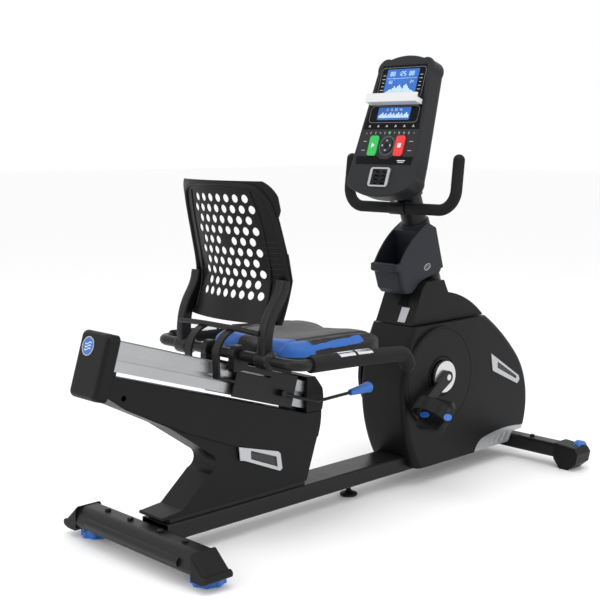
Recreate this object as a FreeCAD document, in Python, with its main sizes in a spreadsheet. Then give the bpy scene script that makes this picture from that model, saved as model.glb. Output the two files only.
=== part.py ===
import FreeCAD, Part
import Sketcher
import math
import os

# Recumbent exercise bike: every piece as its own solid, in millimetres.
# Frame: +X points forward (towards the console), +Y to the rider's left, +Z up.  The origin is on the floor
# under the middle of the bike.  The driving sizes are cells of the sheet Dims and the pieces follow them.

from FreeCAD import Placement, Rotation, Vector

os.makedirs("parts", exist_ok=True)
doc = FreeCAD.newDocument("recumbent_bike")

# ---------------------------------------------------------------------------------------------------------
# Driving dimensions
# ---------------------------------------------------------------------------------------------------------
SIZES = {
    # floor frame
    "beam_rear": -622, "beam_front": 740, "beam_low": 42, "beam_tall": 46, "beam_wide": 104, "beam_wall": 3,
    "rear_bar_x": -660, "rear_bar_long": 470, "rear_bar_wide": 78, "rear_bar_tall": 54, "rear_bar_low": 28,
    "front_bar_x": 766, "front_bar_long": 500, "front_bar_wide": 52, "front_bar_tall": 45,
    "front_bar_low": 30,
    "end_cap_long": 56, "front_cap_long": 86, "foot_radius": 43, "foot_tall": 20, "foot_spread": 226,
    "wheel_radius": 27, "wheel_wide": 24, "wheel_x": 798, "wheel_y": 305, "wheel_z": 58,
    # rail and seat carriage
    "rail_angle": 17, "rail_x": -760, "rail_z": 525, "rail_long": 652, "rail_tall": 74, "rail_wide": 76,
    "groove_tall": 15, "groove_deep": 9, "roller_radius": 7, "roller_wide": 7.5,
    "cap_long": 37, "cap_tall": 160, "cap_wide": 110, "cap_round": 13,
    "carriage_start": 372, "carriage_long": 216, "carriage_gap": 12, "carriage_wall": 4,
    # rear body
    "rear_half": 50, "leg_half": 45, "shroud_wall": 3,
    # seat
    "seat_front": 40, "seat_rear": -325, "seat_half": 203, "seat_base": 446, "seat_thick": 54,
    "bar_x": -395, "bar_z": 481, "bar_core": 14, "bar_grip": 20.5, "bar_half": 270,
    "back_half": 180, "back_wall": 4, "back_radius": 400, "hole_radius": 10.5, "hole_pitch": 29.6,
    "hole_row": 27.0,
    # drive
    "crank_x": 366, "crank_z": 322, "crank_long": 155, "crank_angle": 212, "axle_radius": 9,
    "pulley_radius": 108, "pulley_small": 20, "belt_y": 36, "belt_wide": 12, "belt_thick": 3,
    "flywheel_x": 606, "flywheel_z": 232, "flywheel_radius": 118, "flywheel_wide": 18,
    # front body
    "front_half": 88, "front_round": 18, "disc_radius": 166, "disc_proud": 9,
    # mast, handlebar and console
    "mast_radius": 37, "mast_wall": 2.5, "mast_angle": -20.8, "mast_x": 444, "mast_z": 522,
    "mast_long": 428, "mast_sunk": 40,
    "bar_radius": 12.5, "foam_radius": 16.5, "handle_x": 277, "handle_z": 820, "handle_half": 204,
    "handle_bend": 58, "console_angle": 18.5, "console_wide": 250, "console_top_wide": 204,
    "console_long": 417, "console_deep": 66,
}


def make_sheet():
    """Write the sizes into the sheet, one row each, and name every cell after its size."""
    page = doc.addObject("Spreadsheet::Sheet", "Dims")
    for row, (name, value) in enumerate(SIZES.items(), start=1):
        page.set("A%d" % row, name)
        page.set("B%d" % row, str(value))
        page.setAlias("B%d" % row, name)
    doc.recompute()
    return page


sheet = make_sheet()
pieces = []


def size(name):
    """Value of a cell, for outlines and places that are worked out from it."""
    return float(sheet.get(name))


def keep(obj, label):
    """Give a finished piece its label, and list it for export."""
    obj.Label = label
    if obj.Label != label:
        raise ValueError("label taken: " + label)
    pieces.append(obj)
    return obj


# ---------------------------------------------------------------------------------------------------------
# Helpers: sketches, features and primitives
# ---------------------------------------------------------------------------------------------------------
def new_body(name):
    return doc.addObject("PartDesign::Body", name)


def new_sketch(body, plane, offset=0.0):
    """Sketch on one of the body's origin planes.  XZ looks along +Y, so its normal points to -Y."""
    sketch = body.newObject("Sketcher::SketchObject", body.Name + "_sketch")
    support = [f for f in body.Origin.OriginFeatures if f.Role == plane + "_Plane"][0]
    sketch.AttachmentSupport = [(support, "")]
    sketch.MapMode = "FlatFace"
    if offset:
        sketch.AttachmentOffset = Placement(Vector(0, 0, offset), Rotation())
    return sketch


def arc_through(start, middle, end):
    """Arc through three points, stored counter-clockwise as sketches keep their arcs."""
    turn = (middle - start).cross(end - middle).z
    if turn < 0:
        start, end = end, start
    return Part.Arc(start, middle, end)


def join_ends(sketch, first, count, closed=True):
    """Coincident constraints between each run of an outline and the next one."""
    runs = sketch.Geometry
    for step in range(count if closed else count - 1):
        one = first + step
        two = first + (step + 1) % count
        ends = ((1, runs[one].StartPoint), (2, runs[one].EndPoint))
        starts = ((1, runs[two].StartPoint), (2, runs[two].EndPoint))
        pairs = [(a, b, p.distanceToPoint(q)) for a, p in ends for b, q in starts]
        a, b, _ = min(pairs, key=lambda pair: pair[2])
        sketch.addConstraint(Sketcher.Constraint("Coincident", one, a, two, b))


def outline(sketch, start, *steps):
    """Closed outline.  A step (x, y) is a straight run; (mx, my, x, y) is an arc through (mx, my)."""
    first = len(sketch.Geometry)
    here = Vector(start[0], start[1], 0)
    for step in steps + (start,):
        there = Vector(step[-2], step[-1], 0)
        if there.distanceToPoint(here) < 1e-6:
            continue
        if len(step) == 4:
            sketch.addGeometry(arc_through(here, Vector(step[0], step[1], 0), there))
        else:
            sketch.addGeometry(Part.LineSegment(here, there))
        here = there
    join_ends(sketch, first, len(sketch.Geometry) - first)


def circle(sketch, x, y, radius):
    """Circle whose radius follows an expression of the sheet."""
    number = sketch.addGeometry(Part.Circle(Vector(x, y, 0), Vector(0, 0, 1), 5.0))
    place = sketch.addConstraint(Sketcher.Constraint("DistanceX", -1, 1, number, 3, x)) if x else None
    if place is None:
        sketch.addConstraint(Sketcher.Constraint("PointOnObject", number, 3, -2))
    if y:
        sketch.addConstraint(Sketcher.Constraint("DistanceY", -1, 1, number, 3, y))
    else:
        sketch.addConstraint(Sketcher.Constraint("PointOnObject", number, 3, -1))
    bound = sketch.addConstraint(Sketcher.Constraint("Radius", number, 5.0))
    sketch.setExpression("Constraints[%d]" % bound, radius)
    return number


def rectangle(sketch, x, y, wide, tall):
    """Rectangle centred on x, y whose sides follow expressions of the sheet."""
    first = len(sketch.Geometry)
    corners = [Vector(x + a, y + b, 0) for a, b in ((-5, -5), (5, -5), (5, 5), (-5, 5))]
    for n in range(4):
        sketch.addGeometry(Part.LineSegment(corners[n], corners[(n + 1) % 4]))
    join_ends(sketch, first, 4)
    for n, kind in enumerate(("Horizontal", "Vertical", "Horizontal", "Vertical")):
        sketch.addConstraint(Sketcher.Constraint(kind, first + n))
    across = sketch.addConstraint(Sketcher.Constraint("DistanceX", first, 1, first, 2, 10.0))
    up = sketch.addConstraint(Sketcher.Constraint("DistanceY", first + 1, 1, first + 1, 2, 10.0))
    left = sketch.addConstraint(Sketcher.Constraint("DistanceX", -1, 1, first, 1, x - 5))
    low = sketch.addConstraint(Sketcher.Constraint("DistanceY", -1, 1, first, 1, y - 5))
    sketch.setExpression("Constraints[%d]" % across, wide)
    sketch.setExpression("Constraints[%d]" % up, tall)
    sketch.setExpression("Constraints[%d]" % left, "%g - (%s) / 2" % (x, wide))
    sketch.setExpression("Constraints[%d]" % low, "%g - (%s) / 2" % (y, tall))


def pad(body, sketch, length, centred=False, back=False):
    feature = body.newObject("PartDesign::Pad", body.Name + "_pad")
    feature.Profile = sketch
    feature.setExpression("Length", length)
    feature.Midplane = centred
    feature.Reversed = back
    return feature


def pocket(body, sketch, length=None, centred=False, back=False):
    """Cut a sketch out of the body; without a length it goes through everything, both ways."""
    feature = body.newObject("PartDesign::Pocket", body.Name + "_pocket")
    feature.Profile = sketch
    if length is None:
        feature.Type = "ThroughAll"
        feature.Midplane = True
    else:
        feature.setExpression("Length", length)
        feature.Midplane = centred
    feature.Reversed = back
    return feature


def revolve(body, sketch, axis="V_Axis"):
    feature = body.newObject("PartDesign::Revolution", body.Name + "_turned")
    feature.Profile = sketch
    feature.ReferenceAxis = (sketch, [axis])
    feature.Angle = 360
    return feature


def soften(body, radius, pick):
    """Fillet the edges of the body that pick accepts."""
    doc.recompute()
    base = body.Tip
    names = ["Edge%d" % (n + 1) for n, edge in enumerate(base.Shape.Edges) if pick(edge)]
    feature = body.newObject("PartDesign::Fillet", body.Name + "_fillet")
    feature.Base = (base, names)
    feature.setExpression("Radius", radius)
    doc.recompute()
    return feature


def core(name, sketch, inset, depth, side):
    """Inside of a half shell: the sketch's outline drawn in by inset and run out sideways to a depth."""
    ring = doc.addObject("Part::Offset2D", name + "_ring")
    ring.Source = sketch
    ring.setExpression("Value", "-(%s)" % inset)
    run = doc.addObject("Part::Extrusion", name)
    run.Base = ring
    run.DirMode = "Custom"
    run.Dir = Vector(0, side, 0)
    run.Solid = True
    run.setExpression("LengthFwd", depth)
    return run


def on_plane(shape, axis, value, slack=0.05):
    """True when an edge or face lies wholly in the plane axis = value."""
    box = shape.BoundBox
    low = (box.XMin, box.YMin, box.ZMin)[axis]
    high = (box.XMax, box.YMax, box.ZMax)[axis]
    return abs(low - value) < slack and abs(high - value) < slack


def solid(kind, name, place, turn=None, **sizes):
    """Part primitive whose sizes follow expressions; place is x, y, z and turn a Rotation."""
    obj = doc.addObject("Part::" + kind, name)
    for prop, expression in sizes.items():
        obj.setExpression(prop, str(expression))
    obj.Placement = Placement(Vector(*place), turn or Rotation())
    return obj


ALONG_Y = Rotation(Vector(1, 0, 0), -90)
ALONG_X = Rotation(Vector(0, 1, 0), 90)


def block(name, low, high, turn=None):
    """Box between two corners."""
    long, wide, tall = [b - a for a, b in zip(low, high)]
    return solid("Box", name, low, turn, Length=long, Width=wide, Height=tall)


def rod(name, x, y, z, radius, length, turn=ALONG_Y):
    """Round bar that starts at x, y, z and runs along +Y unless turned."""
    return solid("Cylinder", name, (x, y, z), turn, Radius=radius, Height=length)


def cut(name, base, tool):
    obj = doc.addObject("Part::Cut", name)
    obj.Base = base
    obj.Tool = tool
    return obj


def fuse(name, *shapes):
    obj = doc.addObject("Part::MultiFuse", name)
    obj.Shapes = list(shapes)
    return obj


def group(name, *shapes):
    """Separate solids that share one piece, such as a set of bolts."""
    obj = doc.addObject("Part::Compound", name)
    obj.Links = list(shapes)
    return obj


def mirrored(name, source):
    """Copy of a piece on the other side of the bike."""
    obj = doc.addObject("Part::Mirroring", name)
    obj.Source = source
    obj.Normal = Vector(0, 1, 0)
    obj.Base = Vector(0, 0, 0)
    return obj


def bent_pipe(name, points, radius, bend, inner=None):
    """Round tube along straight runs joined by arcs of one bend radius (Part functions, no spline)."""
    path = []
    here = points[0]
    for before, corner, after in zip(points, points[1:], points[2:]):
        way_in = (corner - before).normalize()
        way_out = (after - corner).normalize()
        half = way_in.getAngle(way_out) / 2
        reach = bend * math.tan(half)
        start = corner - way_in * reach
        end = corner + way_out * reach
        to_centre = (way_out - way_in).normalize()
        centre = corner + to_centre * (bend / math.cos(half))
        path.append(Part.LineSegment(here, start).toShape())
        path.append(Part.Arc(start, centre - to_centre * bend, end).toShape())
        here = end
    path.append(Part.LineSegment(here, points[-1]).toShape())
    spine = Part.Wire(path)
    along = (points[1] - points[0]).normalize()

    def sweep(size_of_ring):
        ring = Part.Wire(Part.Circle(points[0], along, size_of_ring).toShape())
        return spine.makePipeShell([ring], True, True)

    shape = sweep(radius)
    if inner:
        shape = shape.cut(sweep(inner))
    obj = doc.addObject("Part::Feature", name)
    obj.Shape = shape
    return obj


SLOPE = math.radians(size("rail_angle"))
ALONG = Vector(math.cos(SLOPE), 0, -math.sin(SLOPE))
ABOVE = Vector(math.sin(SLOPE), 0, math.cos(SLOPE))
RAIL_TURN = Rotation(Vector(0, 1, 0), size("rail_angle"))
RAIL_START = Vector(size("rail_x"), 0, size("rail_z"))


def on_rail(along, above, across=0.0):
    """Point given by its distance along the rail, above the rail's middle and across to the left."""
    return RAIL_START + ALONG * along + ABOVE * above + Vector(0, across, 0)


def rail_block(name, along, across, above):
    """Box squared to the rail: each argument is a pair of limits in the rail's own directions."""
    corner = on_rail(along[0], above[0], across[0])
    obj = solid("Box", name, tuple(corner), RAIL_TURN, Length=along[1] - along[0],
                Width=across[1] - across[0], Height=above[1] - above[0])
    return obj


def rail_rod(name, along, above, across, radius, length):
    """Round bar that lies across the rail."""
    spot = on_rail(along, above, across)
    return rod(name, spot.x, spot.y, spot.z, radius, length)


# ---------------------------------------------------------------------------------------------------------
# Floor frame
# ---------------------------------------------------------------------------------------------------------
def main_beam():
    """Box section that joins the two floor bars, with a flange plate at the rear end."""
    body = new_body("main_beam")
    sketch = new_sketch(body, "YZ", size("beam_rear"))
    middle = size("beam_low") + size("beam_tall") / 2
    rectangle(sketch, 0, middle, "Dims.beam_wide", "Dims.beam_tall")
    pad(body, sketch, "Dims.beam_front - Dims.beam_rear")
    soften(body, "6", lambda e: e.BoundBox.XLength > 100)
    bore = new_sketch(body, "YZ", size("beam_rear"))
    rectangle(bore, 0, middle, "Dims.beam_wide - 2 * Dims.beam_wall", "Dims.beam_tall - 2 * Dims.beam_wall")
    pocket(body, bore, "Dims.beam_front - Dims.beam_rear", back=True)
    keep(body, "main_beam")


def rear_stabiliser():
    """Deep rounded bar with a swelling moulded along its rear face."""
    body = new_body("rear_stabiliser")
    half = size("rear_bar_long") / 2
    x, wide, low, tall = (size(n) for n in ("rear_bar_x", "rear_bar_wide", "rear_bar_low", "rear_bar_tall"))
    section = new_sketch(body, "XZ", -half)
    rear, front, top = x - wide / 2, x + wide / 2 - 1, low + tall
    outline(section, (rear + 14, low), (front - 10, low), (front - 3, low + 3, front, low + 10),
            (front, top - 16), (front - 5, top - 5, front - 16, top), (rear + 34, top),
            (rear + 14, top - 7, rear + 4, top - 24), (rear, low + 16), (rear + 3, low + 5, rear + 14, low))
    pad(body, section, "Dims.rear_bar_long")
    ridge = new_sketch(body, "XZ", -half + 45)
    outline(ridge, (rear + 2, low + 12), (rear - 6, low + 24, rear + 6, low + 36), (rear + 14, low + 24))
    pad(body, ridge, "Dims.rear_bar_long - 90")
    keep(body, "rear_stabiliser")


def front_stabiliser():
    body = new_body("front_stabiliser")
    section = new_sketch(body, "XZ", -size("front_bar_long") / 2)
    middle = size("front_bar_low") + size("front_bar_tall") / 2
    rectangle(section, size("front_bar_x"), middle, "Dims.front_bar_wide", "Dims.front_bar_tall")
    pad(body, section, "Dims.front_bar_long")
    soften(body, "9", lambda e: e.BoundBox.YLength > 100)
    keep(body, "front_stabiliser")


def rear_cap():
    """Wedge that closes the rear bar and falls towards its tip."""
    body = new_body("rear_cap")
    half = size("rear_bar_long") / 2
    x, wide, low, tall = (size(n) for n in ("rear_bar_x", "rear_bar_wide", "rear_bar_low", "rear_bar_tall"))
    side = new_sketch(body, "YZ", x - wide / 2 - 1)
    tip = half + size("end_cap_long")
    outline(side, (-half, low - 2), (-half, low + tall + 2), (-tip + 8, low + 14),
            (-tip, low + 8, -tip + 4, low - 4), (-tip + 20, low - 8), (-half - 4, low - 8))
    pad(body, side, "Dims.rear_bar_wide + 2")
    soften(body, "9", lambda e: e.BoundBox.YLength > 40 and e.BoundBox.ZLength > 30)
    return body


def front_cap():
    """Shoe that closes the front bar and forks around the transport wheel."""
    body = new_body("front_cap")
    half = size("front_bar_long") / 2
    names = ("front_bar_x", "front_bar_wide", "front_bar_low", "front_bar_tall")
    x, wide, low, tall = (size(name) for name in names)
    side = new_sketch(body, "YZ", x - wide / 2 - 3)
    tip = half + size("front_cap_long")
    outline(side, (-half, low - 2), (-half, low + tall + 3), (-tip + 12, low + tall - 3),
            (-tip, low + tall - 20), (-tip + 6, low - 6), (-tip + 34, 0), (-tip + 64, 0))
    pad(body, side, "Dims.front_bar_wide + 22")
    soften(body, "7", lambda e: e.BoundBox.YLength > 60 and e.BoundBox.ZLength < 12)
    slot = new_sketch(body, "XZ", size("wheel_y") - size("wheel_wide") / 2 - 1.5)
    circle(slot, size("wheel_x"), size("wheel_z"), "Dims.wheel_radius + 2")
    pocket(body, slot, "Dims.wheel_wide + 3", back=True)
    return body


def stabiliser_caps():
    rear = rear_cap()
    front = front_cap()
    pin = rod("wheel_pin", size("wheel_x"), -size("wheel_y") - size("wheel_wide") / 2 - 2, size("wheel_z"),
              5, size("wheel_wide") + 4)
    front_right = fuse("front_cap_right", front, pin)
    caps = group("stabiliser_caps", rear, mirrored("rear_cap_left", rear), front_right,
                 mirrored("front_cap_left", front_right))
    keep(caps, "stabiliser_caps")


def transport_wheel(name, side):
    """Wheel with a rounded tread that turns on the pin in the front shoe."""
    body = new_body(name)
    sketch = new_sketch(body, "YZ")
    half, radius = size("wheel_wide") / 2, size("wheel_radius")
    outline(sketch, (-half, 5.05), (-half, radius - 5), (-half + 1, radius - 1, -half + 5, radius),
            (half - 5, radius), (half - 1, radius - 1, half, radius - 5), (half, 5.05))
    revolve(body, sketch, "H_Axis")
    body.Placement = Placement(Vector(size("wheel_x"), side * size("wheel_y"), size("wheel_z")), Rotation())
    keep(body, name)


def levelling_foot(name, x, y):
    """Lobed foot that is turned by hand to level the bike, on a threaded stud."""
    body = new_body(name)
    sketch = new_sketch(body, "XY")
    circle(sketch, 0, 0, "Dims.foot_radius - 4")
    pad(body, sketch, "Dims.foot_tall - 0.5")
    for n in range(8):
        angle = n * math.pi / 4
        lobe = new_sketch(body, "XY")
        reach = size("foot_radius") - 10
        circle(lobe, reach * math.cos(angle), reach * math.sin(angle), "10")
        pad(body, lobe, "Dims.foot_tall - 4")
    stud = new_sketch(body, "XY")
    circle(stud, 0, 0, "6")
    pad(body, stud, "Dims.rear_bar_low - 0.3")
    body.Placement = Placement(Vector(x, y, 0), Rotation())
    keep(body, name)


def centre_foot():
    """Small foot under the middle of the beam."""
    body = new_body("centre_foot")
    sketch = new_sketch(body, "XZ")
    outline(sketch, (0, 0), (22, 0), (25, 2, 24, 8), (10, 13), (6, 20), (6, size("beam_low") - 0.3),
            (0, size("beam_low") - 0.3))
    revolve(body, sketch)
    body.Placement = Placement(Vector(70, 0, 0), Rotation())
    keep(body, "centre_foot")


def bolt(name, x, y, z, radius=8, tall=7):
    """Domed bolt head standing on a surface."""
    head = solid("Cylinder", name, (x, y, z), Radius=radius, Height=tall)
    dome = doc.addObject("Part::Fillet", name + "_dome")
    dome.Base = head
    doc.recompute()
    top = [n + 1 for n, e in enumerate(head.Shape.Edges) if on_plane(e, 2, z + tall)]
    dome.Edges = [(n, tall * 0.45, tall * 0.45) for n in top]
    return dome


def frame_bolts():
    """Bolts that hold the rear bar, and the ones that hold the front bar."""
    rear_top = size("rear_bar_low") + size("rear_bar_tall")
    front_top = size("front_bar_low") + size("front_bar_tall")
    heads = []
    for n, y in enumerate((-158, -61, 61, 158)):
        heads.append(bolt("rear_bolt_%d" % n, size("rear_bar_x") + 8, y, rear_top))
    for n, y in enumerate((-150, 150)):
        heads.append(bolt("front_bolt_%d" % n, size("front_bar_x"), y, front_top))
    keep(group("frame_bolts", *heads), "frame_bolts")


# ---------------------------------------------------------------------------------------------------------
# Rail and rear body
# ---------------------------------------------------------------------------------------------------------
def rear_column():
    """Welded post inside the rear body: plinth on the beam, leg, and two brackets under the rail."""
    low = size("beam_low") + size("beam_tall")
    plinth = block("plinth", (-610, -44, low), (-150, 44, low + 10))
    leg = new_body("column_leg")
    side = new_sketch(leg, "XZ", -26)
    outline(side, (-480, low + 10), (-370, low + 10), (-300, 318), (-400, 348))
    pad(leg, side, "52")
    rear_end = rail_block("rear_saddle", (8, 26), (-30, 30), (-78, -37.2))
    tie = new_body("column_tie")
    run = new_sketch(tie, "XZ", -26)
    rear_low, rear_high = on_rail(8, -90), on_rail(8, -70)
    outline(run, (rear_low.x, rear_low.z), (rear_high.x, rear_high.z), (-400, 348), (-420, 300))
    pad(tie, run, "52")
    nose = block("front_saddle", (-177, -22, low + 10), (-152, 22, 288))
    seat = rail_block("front_seat", (615, 640), (-22, 22), (-62, -37.2))
    brace = new_body("column_brace")
    arm = new_sketch(brace, "XZ", -22)
    outline(arm, (-165, 240), (-165, 286), (-330, 320), (-360, 270))
    pad(brace, arm, "44")
    keep(fuse("rear_column", plinth, leg, rear_end, tie, nose, seat, brace), "rear_column")


def seat_rail():
    """Aluminium extrusion with a roller groove in each side and a fine line near its top."""
    body = new_body("seat_rail")
    sketch = new_sketch(body, "YZ")
    half, up = size("rail_wide") / 2, size("rail_tall") / 2
    groove, deep = size("groove_tall") / 2, size("groove_deep")
    line = up - 13
    right = [(half - deep, groove - 3), (half - deep, -groove - 3), (half, -groove - 3), (half, -up)]
    left = [(-x, z) for x, z in reversed(right)]
    upper_right = [(half, up - 3), (half, line + 1), (half - 1.5, line + 1), (half - 1.5, line - 1),
                   (half, line - 1), (half, groove - 3)]
    upper_left = [(-x, z) for x, z in reversed(upper_right)]
    points = [(half - 3, up)] + upper_right + right + left + upper_left + [(-half + 3, up)]
    outline(sketch, *points)
    pad(body, sketch, "Dims.rail_long")
    bore = new_sketch(body, "YZ")
    rectangle(bore, 0, 18, "Dims.rail_wide - 30", "24")
    rectangle(bore, 0, -20, "Dims.rail_wide - 30", "22")
    pocket(body, bore, "Dims.rail_long", back=True)
    body.Placement = Placement(RAIL_START, RAIL_TURN)
    keep(body, "seat_rail")


def rail_end_cap():
    """Moulded cap that closes the rear end of the rail and of the rear body."""
    body = new_body("rail_end_cap")
    sketch = new_sketch(body, "YZ")
    rectangle(sketch, 0, 0, "Dims.cap_wide", "Dims.cap_tall")
    pad(body, sketch, "Dims.cap_long", back=True)
    soften(body, "16", lambda e: e.BoundBox.XLength > 20)
    soften(body, "Dims.cap_round", lambda e: on_plane(e, 0, -size("cap_long")))
    body.Placement = Placement(on_rail(-0.4, -33), RAIL_TURN)
    keep(body, "rail_end_cap")


LOW_REAR = (-788.5, 430.5)
TOP_REAR = (-773.9, 478.8)
TOP_FRONT = (-166, 293)
HUMP_LINE = ((-736, 393), (-560, 306), (-408, 244))


def rear_shroud(name, side):
    """Half of the rear body: a leg that leans forward and the long box that runs up under the rail."""
    body = new_body(name + "_solid")
    base = size("beam_low") + size("beam_tall") + 10.5
    leg = new_sketch(body, "XZ")
    outline(leg, LOW_REAR, TOP_REAR, TOP_FRONT, (-150, 288), (-90, 288), (-95, 240, -106, 206),
            (-144, base), (-632, base), (-637, base + 4, -630, base + 8), (-570, base + 14), (-484, 186),
            (-463, 211, -473, 234), (-606, 326), (-736, 393))
    pad(body, leg, "Dims.leg_half", back=side > 0)
    hump = new_sketch(body, "XZ")
    outline(hump, LOW_REAR, TOP_REAR, TOP_FRONT, (-150, 288), (-90, 288), (-95, 240, -103, 214),
            (-240, 192), HUMP_LINE[2], HUMP_LINE[1], HUMP_LINE[0])
    pad(body, hump, "Dims.rear_half", back=side > 0)
    soften(body, "4", lambda e: on_plane(e, 1, side * size("rear_half")))
    bottom = new_sketch(body, "XZ")
    outline(bottom, (-560, base - 1), (-560, base + 4), (-150, base + 4), (-150, base - 1))
    pocket(body, bottom, "41.5", back=side < 0)
    mouth = new_sketch(body, "XZ")
    outline(mouth, (-830, 420), (-771, 484), (-752, 472), (-790, 410))
    pocket(body, mouth, "41.5", back=side < 0)
    front = new_sketch(body, "XZ")
    outline(front, (-172, 282), (-172, 310), (-84, 310), (-84, 282))
    pocket(body, front, "41.5", back=side < 0)
    for start, end, half in ((5, 29, "31"), (612, 643, "23")):
        slot = new_sketch(body, "XZ")
        corners = [on_rail(*spot) for spot in ((start, -54), (end, -54), (end, -44), (start, -44))]
        outline(slot, *[(corner.x, corner.z) for corner in corners])
        pocket(body, slot, half, back=side < 0)
    hole = new_sketch(body, "XZ")
    circle(hole, -742, 422, "7")
    pocket(body, hole)
    vent = new_sketch(body, "XZ")
    outline(vent, (-378, 230), (-374, 210), (-250, 158), (-255, 190))
    pocket(body, vent)
    leg_core = core(name + "_leg_core", leg, "Dims.shroud_wall", "Dims.leg_half - Dims.shroud_wall", side)
    hump_core = core(name + "_hump_core", hump, "Dims.shroud_wall", "Dims.rear_half - Dims.shroud_wall", side)
    keep(cut(name, body, fuse(name + "_cores", leg_core, hump_core)), name)


def rail_front_cover():
    """Rounded cover over the front end of the rail."""
    body = new_body("front_cover_solid")
    side = new_sketch(body, "XZ", -size("rear_half"))
    outline(side, (-149, 288.5), (-90, 288.5), (-85, 318, -89, 350), (-116, 384), (-146, 386), (-149.5, 296))
    pad(body, side, "2 * Dims.rear_half")
    room = rail_block("rail_room", (500, size("rail_long") + 1), (-39, 39), (-39, 39))
    seat_room = rail_block("saddle_room", (500, 642), (-24, 24), (-70, -30))
    keep(cut("rail_front_cover", body, fuse("cover_rooms", room, seat_room)), "rail_front_cover")


def plate_frame(name, y, thick, outer, inner):
    """Flat frame standing on a side wall, from its outer and inner outlines."""
    body = new_body(name)
    sketch = new_sketch(body, "XZ", y)
    outline(sketch, *outer)
    outline(sketch, *inner)
    pad(body, sketch, str(thick))
    return body


REAR_VENT = ((-392, 240), (-388, 204), (-372, 200), (-250, 149), (-241, 154), (-248, 196), (-256, 203))
REAR_VENT_IN = ((-352, 223), (-352, 201), (-258, 162), (-262, 190))
NOSE_VENT = ((618, 356), (628, 300), (760, 240), (772, 252), (766, 266))
NOSE_VENT_IN = ((652, 326), (652, 306), (754, 256), (754, 266))


def silver_trim():
    """Bright frames of the four side vents, and the two ribbed panels at the foot of the front body."""
    half = size("rear_half")
    front = size("front_half")
    rear_frame = plate_frame("rear_vent_frame", half, 3, REAR_VENT, REAR_VENT_IN)
    nose_frame = plate_frame("nose_vent_frame", front, 3, NOSE_VENT, NOSE_VENT_IN)
    panel = new_body("ribbed_panel")
    sketch = new_sketch(panel, "XZ", front - 10)
    outline(sketch, (549, 52), (563, 75, 592, 90.5), (690, 102, 804, 95), (799, 84), (735, 82), (728, 52))
    pad(panel, sketch, "5")
    for n in range(6):
        rib = new_sketch(panel, "XZ", front - 5)
        x = 590 + n * 30
        outline(rib, (x - 20, 58), (x - 10, 58), (x + 8, 86), (x - 2, 86))
        pad(panel, rib, "2")
    right = [rear_frame, nose_frame, panel]
    left = [mirrored(piece.Name + "_left", piece) for piece in right]
    keep(group("silver_trim", *right, *left), "silver_trim")


def vent_meshes():
    """Dark perforated inserts behind the vent frames."""
    rear = new_body("rear_mesh")
    sketch = new_sketch(rear, "XZ", size("rear_half") - 2)
    outline(sketch, (-376, 228), (-372, 212), (-252, 160), (-257, 188))
    pad(rear, sketch, "1.6")
    nose = new_body("nose_mesh")
    sketch = new_sketch(nose, "XZ", size("front_half") - 2)
    outline(sketch, (650.3, 327.4), (650.3, 308.4), (749.7, 260.6), (749.7, 269.8))
    pad(nose, sketch, "1.6")
    keep(group("vent_meshes", rear, nose, mirrored("rear_mesh_left", rear), mirrored("nose_mesh_left", nose)),
         "vent_meshes")


# ---------------------------------------------------------------------------------------------------------
# Seat carriage, seat and backrest
# ---------------------------------------------------------------------------------------------------------
def carriage_limits():
    start = size("carriage_start")
    return start, start + size("carriage_long")


def carriage():
    """Channel that straddles the rail, with stub pins for the rollers, saddles and curved rear guards."""
    start, end = carriage_limits()
    inner = size("rail_wide") / 2 + size("carriage_gap")
    outer = inner + size("carriage_wall")
    top = rail_block("carriage_top", (start, end), (-outer, outer), (39.5, 43.5))
    parts = [top]
    pins = []
    for side in (-1, 1):
        low, high = sorted((side * inner, side * outer))
        plate = rail_block("carriage_side_%d" % side, (start, end), (low, high), (-42, 39.5))
        slot = rail_block("carriage_slot_%d" % side, (start + 10, start + 120), (low - 1, high + 1), (24, 28))
        parts.append(cut("carriage_plate_%d" % side, plate, slot))
        for n, along in enumerate((start + 28, end - 28)):
            pin_start = -inner if side < 0 else inner - 20
            pins.append(rail_rod("stub_%d_%d" % (side, n), along, -3, pin_start, 3, 20))
        saddle = block("saddle_%d" % side, (-419, min(side * 44, side * 66), 440),
                       (-371, max(side * 44, side * 66), 470))
        ring = rod("saddle_ring_%d" % side, size("bar_x"), min(side * 44, side * 66), size("bar_z"), 25, 22)
        parts += [saddle, ring]
        parts.append(rear_guard(side, outer))
    body = fuse("carriage_solid", *parts)
    bore = rod("saddle_bore", size("bar_x"), -80, size("bar_z"), "Dims.bar_core + 0.05", 160)
    rail_room = rail_block("carriage_rail_room", (start - 80, end + 10), (-39.5, 39.5), (-37.5, 38.5))
    clear = cut("carriage_clear", cut("carriage_bored", body, bore), rail_room)
    keep(fuse("carriage", clear, *pins), "carriage")


def rear_guard(side, outer):
    """Curved strap behind the carriage, from the seat bar down to the side plate."""
    guard = new_body("guard_%s" % ("left" if side > 0 else "right"))
    low = outer - 12 if side < 0 else -outer - 12
    sketch = new_sketch(guard, "XZ", low)
    outline(sketch, (-380, 548), (-452, 528, -470, 470), (-468, 428), (-400, 408), (-400, 414), (-462, 434),
            (-464, 470), (-447, 524, -380, 542))
    pad(guard, sketch, "24")
    return guard


def roller_pair(name, along):
    """Two nylon rollers, one in each groove of the rail."""
    inner = size("rail_wide") / 2 - size("groove_deep") + 0.6
    wide = size("roller_wide")
    both = []
    for side in (-1, 1):
        start = side * inner if side > 0 else -inner - wide
        wheel = rail_rod("%s_wheel_%d" % (name, side), along, -3, start, "Dims.roller_radius", wide)
        bore = rail_rod("%s_bore_%d" % (name, side), along, -3, start - 1, 3.05, wide + 2)
        both.append(cut("%s_%d" % (name, side), wheel, bore))
    keep(group(name, *both), name)


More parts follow.
